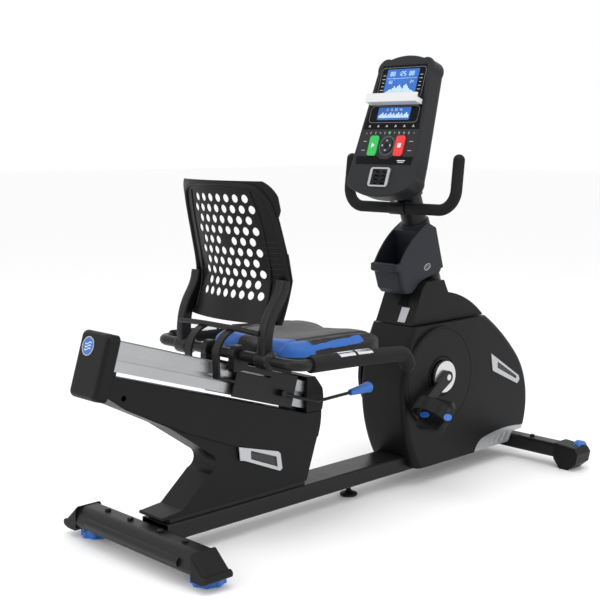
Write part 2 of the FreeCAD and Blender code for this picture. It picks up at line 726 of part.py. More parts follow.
def seat_handlebar():
    """Steel tube behind the seat that runs forward on both sides and turns down at its ends."""
    x, z, half = size("bar_x"), size("bar_z"), size("bar_half")
    front = [Vector(x, -half, z), Vector(-170, -half, z - 8), Vector(-6, -half, z - 18),
             Vector(16, -half + 2, z - 62)]
    route = [Vector(p.x, p.y, p.z) for p in reversed(front)]
    route += [Vector(p.x, -p.y, p.z) for p in front]
    tube = bent_pipe("seat_tube", route, size("bar_core"), 34)
    keep(tube, "seat_handlebar")


def seat_grips():
    """Foam sleeves over the two arms of the seat bar."""
    half, z = size("bar_half"), size("bar_z")
    sleeves = []
    for side in (-1, 1):
        points = [Vector(-352, side * half, z - 1.6), Vector(-170, side * half, z - 8),
                  Vector(-6, side * half, z - 18), Vector(12.5, side * (half - 1.6), z - 55)]
        sleeves.append(bent_pipe("grip_%d" % side, points, size("bar_grip"), 34, size("bar_core") + 0.3))
    keep(group("seat_grips", *sleeves), "seat_grips")


def pulse_sensors():
    """Bright contact plates let into the top of each side grip."""
    plates = []
    for side in (-1, 1):
        y = side * size("bar_half")
        for n, (x, drop, lean) in enumerate(((-235, 5.7, 2.0), (-172, 7.9, 2.75))):
            turn = Rotation(Vector(0, 1, 0), 90 + lean)
            rise = 27 * math.tan(math.radians(lean))
            start = (x - 27, y, size("bar_z") - drop + rise)
            shell = rod("sensor_shell_%d_%d" % (side, n), *start, 21.8, 54, turn)
            core = rod("sensor_core_%d_%d" % (side, n), *start, 21.0, 54, turn)
            tube = cut("sensor_tube_%d_%d" % (side, n), shell, core)
            top = block("sensor_top_%d_%d" % (side, n), (x - 28, y - 17, size("bar_z") + 4),
                        (x + 28, y + 17, size("bar_z") + 20))
            common = doc.addObject("Part::Common", "sensor_%d_%d" % (side, n))
            common.Base = tube
            common.Tool = top
            plates.append(common)
    keep(group("pulse_sensors", *plates), "pulse_sensors")


def seat_pan():
    """Steel tray under the cushion, on two legs that stand on the carriage."""
    under = size("seat_base")
    tray = block("tray", (-300, -150, under - 5), (0, 150, under - 0.5))
    start, _ = carriage_limits()
    legs = new_body("tray_legs")
    side = new_sketch(legs, "XZ", -40)
    rear, front = on_rail(start + 95, 44), on_rail(start + 205, 44)
    outline(side, (rear.x, rear.z), (front.x, front.z), (front.x, under - 5), (rear.x, under - 5))
    pad(legs, side, "80")
    keep(fuse("seat_pan", tray, legs), "seat_pan")


def seat_cushion():
    """Plain closed solid of the cushion: rounded corners and two short lobes in front."""
    body = new_body("seat_cushion")
    plan = new_sketch(body, "XY", size("seat_base"))
    rear, front, half = size("seat_rear"), size("seat_front"), size("seat_half")
    outline(plan, (rear + 50, -half + 20), (front - 70, -half + 6), (front - 22, -half + 24, front, -110),
            (front - 4, -60, front - 34, -24), (front - 40, 0, front - 34, 24), (front - 4, 60, front, 110),
            (front - 22, half - 24, front - 70, half - 6), (rear + 50, half - 20),
            (rear + 10, half - 45, rear, half - 90), (rear, -half + 90),
            (rear + 10, -half + 45, rear + 50, -half + 20))
    pad(body, plan, "Dims.seat_thick")
    soften(body, "16", lambda e: on_plane(e, 2, size("seat_base") + size("seat_thick")))
    keep(body, "seat_cushion")


def back_line():
    """Side profile of the backrest at its middle, from the bottom edge up to the top edge."""
    return [(-402, 566), (-384, 610), (-366, 672), (-386, 765), (-424, 918)]


def back_sag(y):
    """How far the curved backrest stands in front of its middle at a distance y from it."""
    radius = size("back_radius")
    return radius - math.sqrt(radius * radius - y * y)


def backrest_shell():
    """Moulded back: a curved sheet that follows the side profile, with rows of round holes."""
    body = new_body("backrest_shell")
    line = back_line()
    path = new_sketch(body, "XZ")
    bottom, low, waist, high, top = line
    path.addGeometry(arc_through(Vector(*bottom, 0), Vector(*low, 0), Vector(*waist, 0)))
    path.addGeometry(arc_through(Vector(*waist, 0), Vector(*high, 0), Vector(*top, 0)))
    join_ends(path, 0, 2, closed=False)
    half, wall = size("back_half"), size("back_wall")
    plan = new_sketch(body, "XY", bottom[1])
    edge = bottom[0] + back_sag(half)
    outline(plan, (edge, -half), (bottom[0], 0, edge, half), (edge - wall, half),
            (bottom[0] - wall, 0, edge - wall, -half))
    sheet_body = body.newObject("PartDesign::AdditivePipe", "back_sweep")
    sheet_body.Profile = plan
    sheet_body.Spine = (path, [])
    sheet_body.Mode = "Fixed"
    corners = new_sketch(body, "YZ", -600)
    for side in (-1, 1):
        outline(corners, (side * (half + 5), 925), (side * (half - 62), 925),
                (side * (half - 10), 900, side * (half - 8), 830), (side * (half - 2), 740),
                (side * (half + 5), 740))
    pocket(body, corners, "600", back=True)
    holes = new_sketch(body, "YZ", -600)
    pitch, rise = size("hole_pitch"), size("hole_row")
    for row in range(10):
        count = 7 if row % 2 == 0 else 8
        for n in range(count):
            if row == 4 and n == 3:
                continue
            circle(holes, pitch * (n - (count - 1) / 2) - 4, 874 - rise * row, "Dims.hole_radius")
    pocket(body, holes, "600", back=True)
    keep(body, "backrest_shell")


def backrest_frame():
    """Two ribbed uprights behind the back's edges, a cross bar, and clamps on the seat bar."""
    x, z = size("bar_x"), size("bar_z")
    parts = []
    for side in (-1, 1):
        name = "right" if side < 0 else "left"
        upright = new_body("upright_" + name)
        profile = new_sketch(upright, "XZ", side * -148 - 12)
        outline(profile, (x - 16, z + 8), (x - 10, 540), (-392, 572), (-374, 622), (-358, 668), (-364, 700),
                (-380, 700), (-384, 690), (-392, 660), (-404, 610), (-424, 560), (x - 32, 520),
                (x - 28, z + 8))
        pad(upright, profile, "24")
        clamp = rod("clamp_" + name, x, side * 148 - 22, z, 24, 44)
        bore = rod("clamp_bore_" + name, x, side * 148 - 30, z, size("bar_core") + 0.05, 60)
        parts.append(cut("clamp_on_" + name, fuse("clamped_" + name, upright, clamp), bore))
    cross = rod("back_cross_bar", -421, -140, 556, 7, 280)
    frame = fuse("backrest_frame", *parts, cross)
    keep(frame, "backrest_frame")


def seat_lever():
    """Bent rod with a hub on the right side plate; lifting it lets the carriage slide."""
    side = -(size("rail_wide") / 2 + size("carriage_gap") + size("carriage_wall"))
    hub_x, hub_z = -250, 360
    hub = rod("lever_hub", hub_x, side - 17, hub_z, 9, 16.7)
    run = bent_pipe("lever_rod", [Vector(hub_x, side - 11, hub_z), Vector(-206, side - 24, 344),
                                  Vector(-150, side - 36, 327), Vector(-30, side - 42, 333)], 4.5, 12)
    keep(fuse("seat_lever", hub, run), "seat_lever")


def lever_grip():
    """Coloured sleeve on the end of the rod, thicker towards its tip."""
    body = new_body("lever_grip")
    sketch = new_sketch(body, "XZ")
    outline(sketch, (0, 0), (0, 6), (1, 8, 4, 9), (70, 14.5), (80, 14, 84, 8), (84, 0))
    revolve(body, sketch, "H_Axis")
    side = -(size("rail_wide") / 2 + size("carriage_gap") + size("carriage_wall"))
    body.Placement = Placement(Vector(-29.5, side - 42, 333.1), Rotation(Vector(0, 1, 0), -2.9))
    keep(body, "lever_grip")


def lock_pad():
    """Friction pad that grips the right side of the rail until the lever lifts it away."""
    start, _ = carriage_limits()
    face = size("rail_wide") / 2 + 0.3
    keep(rail_block("lock_pad", (start + 70, start + 140), (-face - 8, -face), (-30, -14)), "lock_pad")


# ---------------------------------------------------------------------------------------------------------
# Drive
# ---------------------------------------------------------------------------------------------------------
def drive_frame():
    """Welded upright with the crank shell, the flywheel fork and the socket that the mast stands in."""
    low = size("beam_low") + size("beam_tall") + 0.3
    upright = new_body("upright_tube")
    side = new_sketch(upright, "XZ", -22)
    outline(side, (412, low), (486, low), (486, 150), (476, 400), (470, 500), (422, 486), (412, 400))
    pad(upright, side, "44")
    x, z = size("crank_x"), size("crank_z")
    shell = rod("crank_shell", x, -52, z, 22, 78)
    gusset = block("gusset", (x, -16, z - 30), (420, 16, z + 30))
    fx, fz = size("flywheel_x"), size("flywheel_z")
    arms = []
    for n, y in enumerate((-26, 15)):
        arm = new_body("fork_%d" % n)
        plate = new_sketch(arm, "XZ", -y - 5)
        outline(plate, (440, fz - 60), (fx, fz - 22), (fx + 22, fz, fx, fz + 22), (440, fz + 60))
        pad(arm, plate, "5")
        arms.append(arm)
    socket = rod("mast_socket", *mast_point(-60), size("mast_radius") + 4.5, 62, MAST_TURN)
    pivot_x, pivot_z = rim(104, 10)
    lug = block("magnet_lug", (470, -26, pivot_z - 12), (pivot_x + 12, -20.5, pivot_z + 12))
    lug_hole = rod("lug_hole", pivot_x, -30, pivot_z, 6.05, 20)
    solid_frame = fuse("frame_solid", upright, shell, gusset, socket, lug, *arms)
    bore = rod("shell_bore", x, -60, z, size("axle_radius") + 6, 100)
    hub_hole = rod("fork_hole", fx, 10, fz, 12.5, 20)
    axle_hole = rod("fork_axle_hole", fx, -40, fz, 5, 30)
    mast_bore = rod("socket_bore", *mast_point(-MAST_SUNK), size("mast_radius") + 0.1, 100, MAST_TURN)
    bores = fuse("frame_bores", bore, hub_hole, axle_hole, lug_hole, mast_bore)
    framed = cut("drive_frame_cut", solid_frame, bores)
    bearings = []
    for n, y in enumerate((-52, 14)):
        ring = rod("bearing_%d" % n, x, y, z, size("axle_radius") + 5.9, 12)
        hole = rod("bearing_hole_%d" % n, x, y - 1, z, size("axle_radius") + 0.05, 14)
        bearings.append(cut("bearing_cut_%d" % n, ring, hole))
    keep(group("drive_frame", framed, *bearings), "drive_frame")


def crank_axle():
    """Axle through the front body, with a bright round boss on each end."""
    x, z = size("crank_x"), size("crank_z")
    axle = rod("axle_bar", x, -126, z, "Dims.axle_radius", 252)
    bosses = [rod("axle_boss_%d" % n, x, y, z, 47, 10) for n, y in enumerate((-111.9, 101.9))]
    keep(fuse("crank_axle", axle, *bosses), "crank_axle")


def drive_pulley():
    """Large belt pulley on the left end of the crank axle, lightened by six holes."""
    y = size("belt_y") - size("belt_wide") / 2 - 2
    x, z = size("crank_x"), size("crank_z")
    disc = rod("pulley_disc", x, y, z, "Dims.pulley_radius", size("belt_wide") + 4)
    holes = [rod("pulley_bore", x, y - 1, z, size("axle_radius") + 0.02, 40)]
    for n in range(6):
        angle = n * math.pi / 3
        spot = (x + 62 * math.cos(angle), y - 1, z + 62 * math.sin(angle))
        holes.append(rod("pulley_hole_%d" % n, *spot, 22, 40))
    keep(cut("drive_pulley", disc, fuse("pulley_holes", *holes)), "drive_pulley")


def pedal_spot(side):
    """Middle of the pedal spindle: the right arm points back and down, the left one the other way."""
    angle = math.radians(size("crank_angle") + (180 if side > 0 else 0))
    reach = size("crank_long")
    return size("crank_x") + reach * math.cos(angle), size("crank_z") + reach * math.sin(angle)


def crank_arm(name, side):
    """Forged arm from the axle to the pedal, with the pedal spindle in its end."""
    px, pz = pedal_spot(side)
    x, z = size("crank_x"), size("crank_z")
    y = side * 112 if side > 0 else -126
    along = Vector(px - x, 0, pz - z).normalize()
    across = Vector(-along.z, 0, along.x)
    body = new_body(name + "_bar")
    sketch = new_sketch(body, "XZ", -y - 14)
    root, tip = Vector(x, 0, z), Vector(px, 0, pz)

    def flat(spot, sideways, forward=0.0):
        point = spot + across * sideways + along * forward
        return (point.x, point.z)

    outline(sketch, flat(root, 19), flat(root, 0, -19) + flat(root, -19), flat(tip, -13),
            flat(tip, 0, 13) + flat(tip, 13))
    pad(body, sketch, "14")
    soften(body, "3", lambda e: abs(e.BoundBox.YLength) < 0.01)
    bore = rod(name + "_bore", x, y - 1, z, size("axle_radius") + 0.02, 16)
    start = 126 if side > 0 else -236
    spindle = rod(name + "_spindle", px, start, pz, 6, 110)
    return fuse(name, cut(name + "_bored", body, bore), spindle)


def pedal(name, side):
    """Wide self-levelling pedal with a strap loop over the foot side."""
    px, pz = pedal_spot(side)
    middle = side * 184
    tilt = Rotation(Vector(0, 1, 0), -48)
    platform = new_body(name + "_platform")
    plan = new_sketch(platform, "XY", -12)
    outline(plan, (-50, -40), (-34, -46), (34, -46), (50, -38), (50, 38), (34, 46), (-34, 46), (-50, 40))
    pad(platform, plan, "24")
    soften(platform, "5", lambda e: e.BoundBox.ZLength < 0.01)
    bore = new_sketch(platform, "XZ")
    circle(bore, 0, 0, "6.05")
    pocket(platform, bore)
    strap = new_body(name + "_strap")
    loop = new_sketch(strap, "YZ", -20)
    outline(loop, (-46, 8), (-52, 40, -30, 62), (0, 72, 30, 62), (52, 40, 46, 8), (43, 8), (48, 40, 28, 58),
            (0, 68, -28, 58), (-48, 40, -43, 8))
    pad(strap, loop, "40")
    both = fuse(name, platform, strap)
    both.Placement = Placement(Vector(px, middle, pz), tilt)
    keep(both, name)


def flywheel():
    """Steel flywheel with its hub and the small pulley that the belt turns."""
    x, z, wide = size("flywheel_x"), size("flywheel_z"), size("flywheel_wide")
    disc = rod("wheel_disc", x, -wide / 2, z, "Dims.flywheel_radius", wide)
    hub = rod("wheel_hub", x, wide / 2, z, 12, size("belt_y") - size("belt_wide") / 2 - wide / 2)
    small = rod("wheel_pulley", x, size("belt_y") - size("belt_wide") / 2, z, "Dims.pulley_small",
                size("belt_wide"))
    pin = rod("wheel_axle", x, -30, z, 4.9, 30)
    waist = rod("wheel_recess", x, -wide / 2 - 1, z, 84, 6)
    boss = rod("wheel_boss", x, -wide / 2, z, 26, 6)
    keep(fuse("flywheel", cut("wheel_dished", disc, waist), boss, hub, small, pin), "flywheel")


def drive_belt():
    """Flat belt around both pulleys: two arcs joined by the common tangents."""
    x1, z1, x2, z2 = size("crank_x"), size("crank_z"), size("flywheel_x"), size("flywheel_z")
    gap = math.hypot(x2 - x1, z2 - z1)
    lean = math.atan2(z2 - z1, x2 - x1)
    spread = math.acos((size("pulley_radius") - size("pulley_small")) / gap)
    body = new_body("drive_belt")
    sketch = new_sketch(body, "XZ", -size("belt_y") - size("belt_wide") / 2)
    for extra in (0.3, 0.3 + size("belt_thick")):
        big, small = size("pulley_radius") + extra, size("pulley_small") + extra

        def spot(x, z, radius, angle):
            return (x + radius * math.cos(angle), z + radius * math.sin(angle))

        up, down = lean + spread, lean - spread
        outline(sketch, spot(x1, z1, big, up), spot(x1, z1, big, lean + math.pi) + spot(x1, z1, big, down),
                spot(x2, z2, small, down), spot(x2, z2, small, lean) + spot(x2, z2, small, up))
    pad(body, sketch, "Dims.belt_wide")
    keep(body, "drive_belt")


def rim(angle, extra=0.0):
    """Point just outside the flywheel's rim, at an angle from its axle."""
    reach, turn = size("flywheel_radius") + 9 + extra, math.radians(angle)
    return (size("flywheel_x") + reach * math.cos(turn), size("flywheel_z") + reach * math.sin(turn))


def magnet_bracket():
    """Arm with brake magnets that swings towards the rim of the flywheel."""
    body = new_body("magnet_plate")

    sketch = new_sketch(body, "XZ", -14)
    outline(sketch, rim(108), rim(78) + rim(48), rim(48, 16), rim(78, 16) + rim(108, 16))
    pad(body, sketch, "28")
    pivot_x, pivot_z = rim(104, 10)
    pin = rod("magnet_pivot", pivot_x, -26, pivot_z, 6, 46)
    keep(fuse("magnet_arm", body, pin), "magnet_bracket")


def brake_motor():
    """Small servo motor on the upright that pulls the magnet bracket."""
    case = block("motor_case", (486.5, -24, 420), (524, 24, 462))
    shaft = rod("motor_shaft", 505, 24, 440, 5, 10)
    keep(fuse("brake_motor", case, shaft), "brake_motor")


# ---------------------------------------------------------------------------------------------------------
# Front body
# ---------------------------------------------------------------------------------------------------------
FRONT_REAR_EDGE = ((275, 52), (207, 300, 256, 478))
FRONT_NOSE = ((600, 478), (686.8, 414.7, 764, 340), (821.6, 224.6, 812, 96))


def front_shroud(name, side):
    """Half of the front body: shell with a round raised cover around the crank."""
    body = new_body(name + "_solid")
    sketch = new_sketch(body, "XZ")
    outline(sketch, *FRONT_REAR_EDGE, *FRONT_NOSE, (690, 104, 590, 92), (560, 76, 545, 52))
    pad(body, sketch, "Dims.front_half", back=side > 0)
    soften(body, "Dims.front_round",
           lambda e: on_plane(e, 1, side * size("front_half")) and 130 < e.BoundBox.Center.z < 470)
    disc = new_sketch(body, "XZ", -side * (size("front_half") - 2))
    circle(disc, size("crank_x") - 4, size("crank_z") - 4, "Dims.disc_radius - 14")
    circle(disc, size("crank_x"), size("crank_z"), "48.5")
    pad(body, disc, "Dims.disc_proud + 2", back=side > 0)
    opening = new_sketch(body, "XZ")
    circle(opening, size("crank_x"), size("crank_z"), "48.5")
    pocket(body, opening)
    vent = new_sketch(body, "XZ")
    outline(vent, (650, 328), (650, 308), (750, 260), (750, 270))
    pocket(body, vent)
    beam = new_sketch(body, "XZ")
    outline(beam, (230, 30), (230, 90), (330, 90), (330, 30))
    pocket(body, beam, "Dims.beam_wide / 2 + 1", back=side < 0)
    floor = new_sketch(body, "XZ")
    outline(floor, (318, 30), (318, 90), (816, 96), (816, 30))
    pocket(body, floor, "Dims.beam_wide / 2 + 14", back=side < 0)
    inlet = new_sketch(body, "YZ", 780)
    circle(inlet, 0, 132, "8.3")
    pocket(body, inlet, "60", back=True)
    neck = new_sketch(body, "XZ")
    outline(neck, (385, 470), (385, 490), (515, 490), (515, 470))
    pocket(body, neck, "46", back=side < 0)
    wall, rounding = "Dims.shroud_wall", "Dims.front_round"
    steps = ((wall, rounding), ("0.4 * " + rounding, "0.4 * " + rounding), (rounding, wall))
    cores = [core("%s_core_%d" % (name, n), sketch, inset, "Dims.front_half - " + depth, side)
             for n, (inset, depth) in enumerate(steps)]
    keep(cut(name, body, fuse(name + "_cores", *cores)), name)


def shroud_top_cover():
    """Upper cover that closes the front body behind and around the foot of the mast."""
    body = new_body("top_cover_solid")
    sketch = new_sketch(body, "XZ", -70)
    outline(sketch, (257, 481), (280, 530, 304, 584), (324, 604), (404, 604), (424, 566),
            (512, 538, 596, 481))
    pad(body, sketch, "140")
    inner = new_body("top_cover_core")
    room = new_sketch(inner, "XZ", -66)
    outline(room, (262, 470), (284, 528, 309, 579), (328, 600), (401, 600), (421, 562), (508, 534, 586, 479),
            (586, 470))
    pad(inner, room, "132")
    mast_room = rod("mast_room", size("mast_x"), 0, size("mast_z"), size("mast_radius") + 1, 200,
                    Rotation(Vector(0, 1, 0), size("mast_angle")))
    hollow = cut("top_cover_hollow", body, inner)
    keep(cut("shroud_top_cover", hollow, mast_room), "shroud_top_cover")


def power_inlet():
    """Low-voltage inlet in the lower front of the body."""
    tube = rod("inlet_tube", 806, 0, 132, 8, 16, ALONG_X)
    bore = rod("inlet_bore", 810, 0, 132, 5, 20, ALONG_X)
    keep(cut("power_inlet", tube, bore), "power_inlet")


# ---------------------------------------------------------------------------------------------------------
# Mast, bucket, handlebar
# ---------------------------------------------------------------------------------------------------------
MAST_TURN = Rotation(Vector(0, 1, 0), size("mast_angle"))
MAST_SUNK = size("mast_sunk")


def mast_point(along):
    return Vector(size("mast_x"), 0, size("mast_z")) + MAST_TURN.multVec(Vector(0, 0, along))


def mast():
    """Round steel tube that leans back from its socket to the console."""
    body = new_body("mast")
    sketch = new_sketch(body, "XY")
    circle(sketch, 0, 0, "Dims.mast_radius")
    circle(sketch, 0, 0, "Dims.mast_radius - Dims.mast_wall")
    pad(body, sketch, "Dims.mast_long + Dims.mast_sunk")
    body.Placement = Placement(mast_point(-MAST_SUNK), MAST_TURN)
    keep(body, "mast")


def mast_bucket():
    """Moulded sleeve around the mast with a deep holder on the rider's side."""
    sleeve = rod("sleeve", *mast_point(106), size("mast_radius") + 6, 168, MAST_TURN)
    outer = new_body("bucket_outer")
    side = new_sketch(outer, "XZ", -52)
    outline(side, (206, 662), (206, 640), (222, 634), (238, 586), (252, 573), (280, 575), (318, 606),
            (372, 622), (420, 640), (384, 760), (348, 776), (282, 732, 230, 668), (206, 662))
    pad(outer, side, "104")
    soften(outer, "12", lambda e: abs(e.BoundBox.YLength) < 0.01 and e.BoundBox.Center.x < 262)
    inner = new_body("bucket_inner")
    room = new_sketch(inner, "XZ", -47)
    outline(room, (212, 700), (212, 650), (228, 640), (245, 582), (278, 582), (315, 612), (332, 620),
            (322, 700), (290, 810))
    pad(inner, room, "94")
    tube_room = rod("bucket_tube_room", *mast_point(60), size("mast_radius") + 0.3, 260, MAST_TURN)
    keep(cut("mast_bucket", fuse("bucket_solid", sleeve, outer), fuse("bucket_rooms", inner, tube_room)),
         "mast_bucket")


def handlebar():
    """U-shaped tube across the rear of the mast, with both arms turned up."""
    x, z, half = size("handle_x"), size("handle_z"), size("handle_half")
    arm = Vector(x + 16, half, z + 140)
    knee = Vector(x, half, z)
    route = [Vector(arm.x, -arm.y, arm.z), Vector(knee.x, -knee.y, knee.z), knee, arm]
    keep(bent_pipe("handle_tube", route, size("bar_radius"), size("handle_bend")), "handlebar")
    sleeves = []
    for side in (-1, 1):
        points = [Vector(x, side * 34, z), Vector(x, side * half, z), Vector(arm.x, side * half, arm.z)]
        sleeves.append(bent_pipe("foam_%d" % side, points, size("foam_radius"), size("handle_bend"),
                                 size("bar_radius") + 0.2))
        end = points[-1]
        sleeves.append(solid("Sphere", "foam_end_%d" % side, (end.x + 0.1, end.y, end.z + 0.6),
                             Rotation(Vector(0, 1, 0), 6), Radius="Dims.foam_radius", Angle1=0))
    keep(group("handlebar_grips", *sleeves), "handlebar_grips")


def handlebar_clamp():
    """Two-part clamp that holds the handlebar against the mast."""
    x, z = size("handle_x"), size("handle_z")
    shell = rod("clamp_shell", x, -31, z, 19, 62)
    arm = block("clamp_arm", (x, -16, z - 15), (x + 46, 16, z + 15))
    room = fuse("clamp_rooms", rod("clamp_room", x, -40, z, size("bar_radius") + 0.05, 80),
                rod("clamp_mast_room", *mast_point(200), size("mast_radius") + 0.05, 220, MAST_TURN))
    keep(cut("handlebar_clamp", fuse("clamp_solid", shell, arm), room), "handlebar_clamp")


# ---------------------------------------------------------------------------------------------------------
# Console, modelled face up and then stood on the mast
# ---------------------------------------------------------------------------------------------------------
CONSOLE_ORIGIN = Vector(172, 0, 858)
LEAN = math.radians(size("console_angle"))
FACE_UP = Vector(math.sin(LEAN), 0, math.cos(LEAN))
FACE_OUT = Vector(-math.cos(LEAN), 0, math.sin(LEAN))
CONSOLE_PLACE = Placement(CONSOLE_ORIGIN, Rotation(Vector(0, -1, 0), FACE_UP, FACE_OUT, "ZXY"))


def place_on_console(obj):
    obj.Placement = CONSOLE_PLACE
    return obj


def console_outline(sketch, inset=0.0):
    """Shield outline of the console: u runs to the rider's right, v up the face."""
    low, high = size("console_wide") / 2 - inset, size("console_top_wide") / 2 - inset
    tall = size("console_long")
    outline(sketch, (-low + 18, 22), (0, inset - 2, low - 18, 22), (low - 4, 32, low, 62), (low - 2, 110),
            (high, tall - 46), (high - 4, tall - 14 - inset, high - 40, tall - 4 - inset),
            (0, tall + 6 - inset, -high + 40, tall - 4 - inset), (-high + 4, tall - 14 - inset, -high, tall - 46),
            (-low + 2, 110), (-low, 62), (-low + 4, 32, -low + 18, 22))


def console_back():
    body = new_body("console_back_solid")
    sketch = new_sketch(body, "XY", -size("console_deep"))
    console_outline(sketch, 2)
    pad(body, sketch, "Dims.console_deep - 8.3")
    soften(body, "18", lambda e: on_plane(e, 2, -size("console_deep")))
    inside = new_sketch(body, "XY", -8.3)
    console_outline(inside, 8)
    pocket(body, inside, "Dims.console_deep - 14")
    place_on_console(body)
    collar = rod("console_collar", *mast_point(356), size("mast_radius") + 6, 70, MAST_TURN)
    bridge = block("console_bridge", (240, -24, 872), (300, 24, 908))
    room = rod("console_mast_room", *mast_point(300), size("mast_radius") + 0.1, 160, MAST_TURN)
    keep(cut("console_back", fuse("console_back_joined", body, collar, bridge), room), "console_back")


def console_front():
    body = new_body("console_front")
    sketch = new_sketch(body, "XY", -8)
    console_outline(sketch)
    pad(body, sketch, "8")
    soften(body, "5", lambda e: on_plane(e, 2, 0))
    fan = new_sketch(body, "XY")
    rectangle(fan, 0, 56, "76", "58")
    pocket(body, fan)
    panel_room = new_sketch(body, "XY")
    outline(panel_room, (-106, 92), (-114, 150), (-84, 396), (84, 396), (114, 150), (106, 92))
    pocket(body, panel_room, "2.6")
    for u in (-50, 50):
        hole = new_sketch(body, "XY")
        rectangle(hole, u, 149, "34.6", "60.6")
        pocket(body, hole)
    nav = new_sketch(body, "XY")
    circle(nav, 0, 150, "22.3")
    pocket(body, nav)
    keep(place_on_console(body), "console_front")


def console_panel():
    """Glossy printed panel let into the face."""
    body = new_body("console_panel")
    sketch = new_sketch(body, "XY", -2.5)
    outline(sketch, (-105.5, 92.5), (-113.5, 150), (-83.5, 395.5), (83.5, 395.5), (113.5, 150), (105.5, 92.5))
    pad(body, sketch, "2.5")
    for u in (-50, 50):
        hole = new_sketch(body, "XY")
        rectangle(hole, u, 149, "34.6", "60.6")
        pocket(body, hole)
    nav = new_sketch(body, "XY")
    circle(nav, 0, 150, "22.3")
    pocket(body, nav)
    keep(place_on_console(body), "console_panel")


def console_box(name, u, v, wide, tall, low, thick, rounding=0.0):
    """Small rounded block on the console's face."""
    body = new_body(name)
    sketch = new_sketch(body, "XY", low)
    rectangle(sketch, u, v, str(wide), str(tall))
    pad(body, sketch, str(thick))
    if rounding:
        soften(body, str(rounding), lambda e: e.BoundBox.ZLength > thick * 0.9)
    return place_on_console(body)


def console_parts():
    upper = console_box("display_upper", 0, 343, 112, 74, 0.1, 1.2, 3)
    lower = console_box("display_lower", 0, 250, 98, 36, 0.1, 1.2, 3)
    keep(group("displays", upper, lower), "displays")
    tray = new_body("media_tray")
    sketch = new_sketch(tray, "XY", 0.1)
    rectangle(sketch, 0, 279, "190", "14")
    pad(tray, sketch, "30")
    lip = new_sketch(tray, "XY", 25)
    rectangle(lip, 0, 285, "190", "26")
    pad(tray, lip, "5")
    keep(place_on_console(tray), "media_tray")
    bezel = new_body("fan_bezel")
    ring = new_sketch(bezel, "XY", -7)
    rectangle(ring, 0, 56, "75", "57")
    pad(bezel, ring, "11")
    soften(bezel, "9", lambda e: e.BoundBox.ZLength > 10)
    grille = new_sketch(bezel, "XY", -7)
    for row in range(4):
        for column in range(2):
            rectangle(grille, -13.5 + 27 * column, 39 + 11.3 * row, "24", "8.6")
    pocket(bezel, grille)
    keep(place_on_console(bezel), "fan_bezel")
    for name, u in (("start_key", -50), ("stop_key", 50)):
        keep(console_box(name, u, 149, 34, 60, -1.0, 5, 8), name)
    nav = new_body("nav_pad")
    face = new_sketch(nav, "XY", -1)
    circle(face, 0, 150, "22")
    pad(nav, face, "4.5")
    soften(nav, "1.5", lambda e: on_plane(e, 2, 3.5))
    keep(place_on_console(nav), "nav_pad")
    fan = new_body("fan_rotor")
    hub = new_sketch(fan, "XY", -30)
    circle(hub, 0, 56, "9")
    pad(fan, hub, "14")
    for n in range(7):
        blade = new_sketch(fan, "XY", -28)
        turn = n * 2 * math.pi / 7
        tip = (25 * math.cos(turn), 56 + 25 * math.sin(turn))
        late = (25 * math.cos(turn + 0.5), 56 + 25 * math.sin(turn + 0.5))
        root = (6 * math.cos(turn + 0.3), 56 + 6 * math.sin(turn + 0.3))
        outline(blade, root, tip, late)
        pad(fan, blade, "8")
    keep(place_on_console(fan), "fan_rotor")


# ---------------------------------------------------------------------------------------------------------
# Build, check and write
# ---------------------------------------------------------------------------------------------------------
def build_all():
    main_beam()
    rear_stabiliser()
    front_stabiliser()
    stabiliser_caps()
    transport_wheel("wheel_right", -1)
    transport_wheel("wheel_left", 1)
    levelling_foot("foot_right", -640, -size("foot_spread"))
    levelling_foot("foot_left", -640, size("foot_spread"))
    centre_foot()
    frame_bolts()
    rear_column()
    seat_rail()
    rail_end_cap()
    rear_shroud("rear_shroud_right", -1)
    rear_shroud("rear_shroud_left", 1)
    rail_front_cover()
    silver_trim()
    vent_meshes()
    carriage()
    start, end = carriage_limits()
    roller_pair("roller_rear", start + 28)
    roller_pair("roller_front", end - 28)
    seat_handlebar()
    seat_grips()
    pulse_sensors()
    seat_pan()
    seat_cushion()
    backrest_shell()
    backrest_frame()
    seat_lever()
    lever_grip()
    lock_pad()
    drive_frame()
    crank_axle()
    drive_pulley()
    keep(group("crank_arms", crank_arm("arm_right", -1), crank_arm("arm_left", 1)), "crank_arms")
    pedal("pedal_right", -1)
    pedal("pedal_left", 1)
    flywheel()
    drive_belt()
    magnet_bracket()
    brake_motor()
    front_shroud("front_shroud_right", -1)
    front_shroud("front_shroud_left", 1)
    shroud_top_cover()
    power_inlet()
    mast()
    mast_bucket()
    handlebar()
    handlebar_clamp()
    console_back()
    console_front()
    console_panel()
    console_parts()


def check_and_write():
    doc.recompute()
    bad = [obj.Label for obj in doc.Objects if "Invalid" in obj.State or "Error" in obj.State]
    for piece in pieces:
        if piece.Shape.isNull() or not piece.Shape.isValid():
            bad.append(piece.Label)
    if bad:
        raise RuntimeError("pieces that failed: " + ", ".join(bad))
    for piece in pieces:
        piece.Shape.exportStep("parts/%s.step" % piece.Label)
        print("%-20s %d solids %9.0f mm3" % (piece.Label, len(piece.Shape.Solids), piece.Shape.Volume))
    print(len(pieces), "pieces")


build_all()
check_and_write()
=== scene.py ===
# %% [markdown]
# # Recumbent exercise bike
# The bike is modelled in metres. Forward is +X, the rider's left is +Y and up is +Z, with the origin on the
# floor under the middle of the machine. The metal and plastic parts come in as finished solids. This lesson
# gives them their materials, and adds the soft, printed and finely moulded pieces.

# %% Load the solids
import math

import bpy
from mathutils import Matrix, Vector
from mathutils.bvhtree import BVHTree


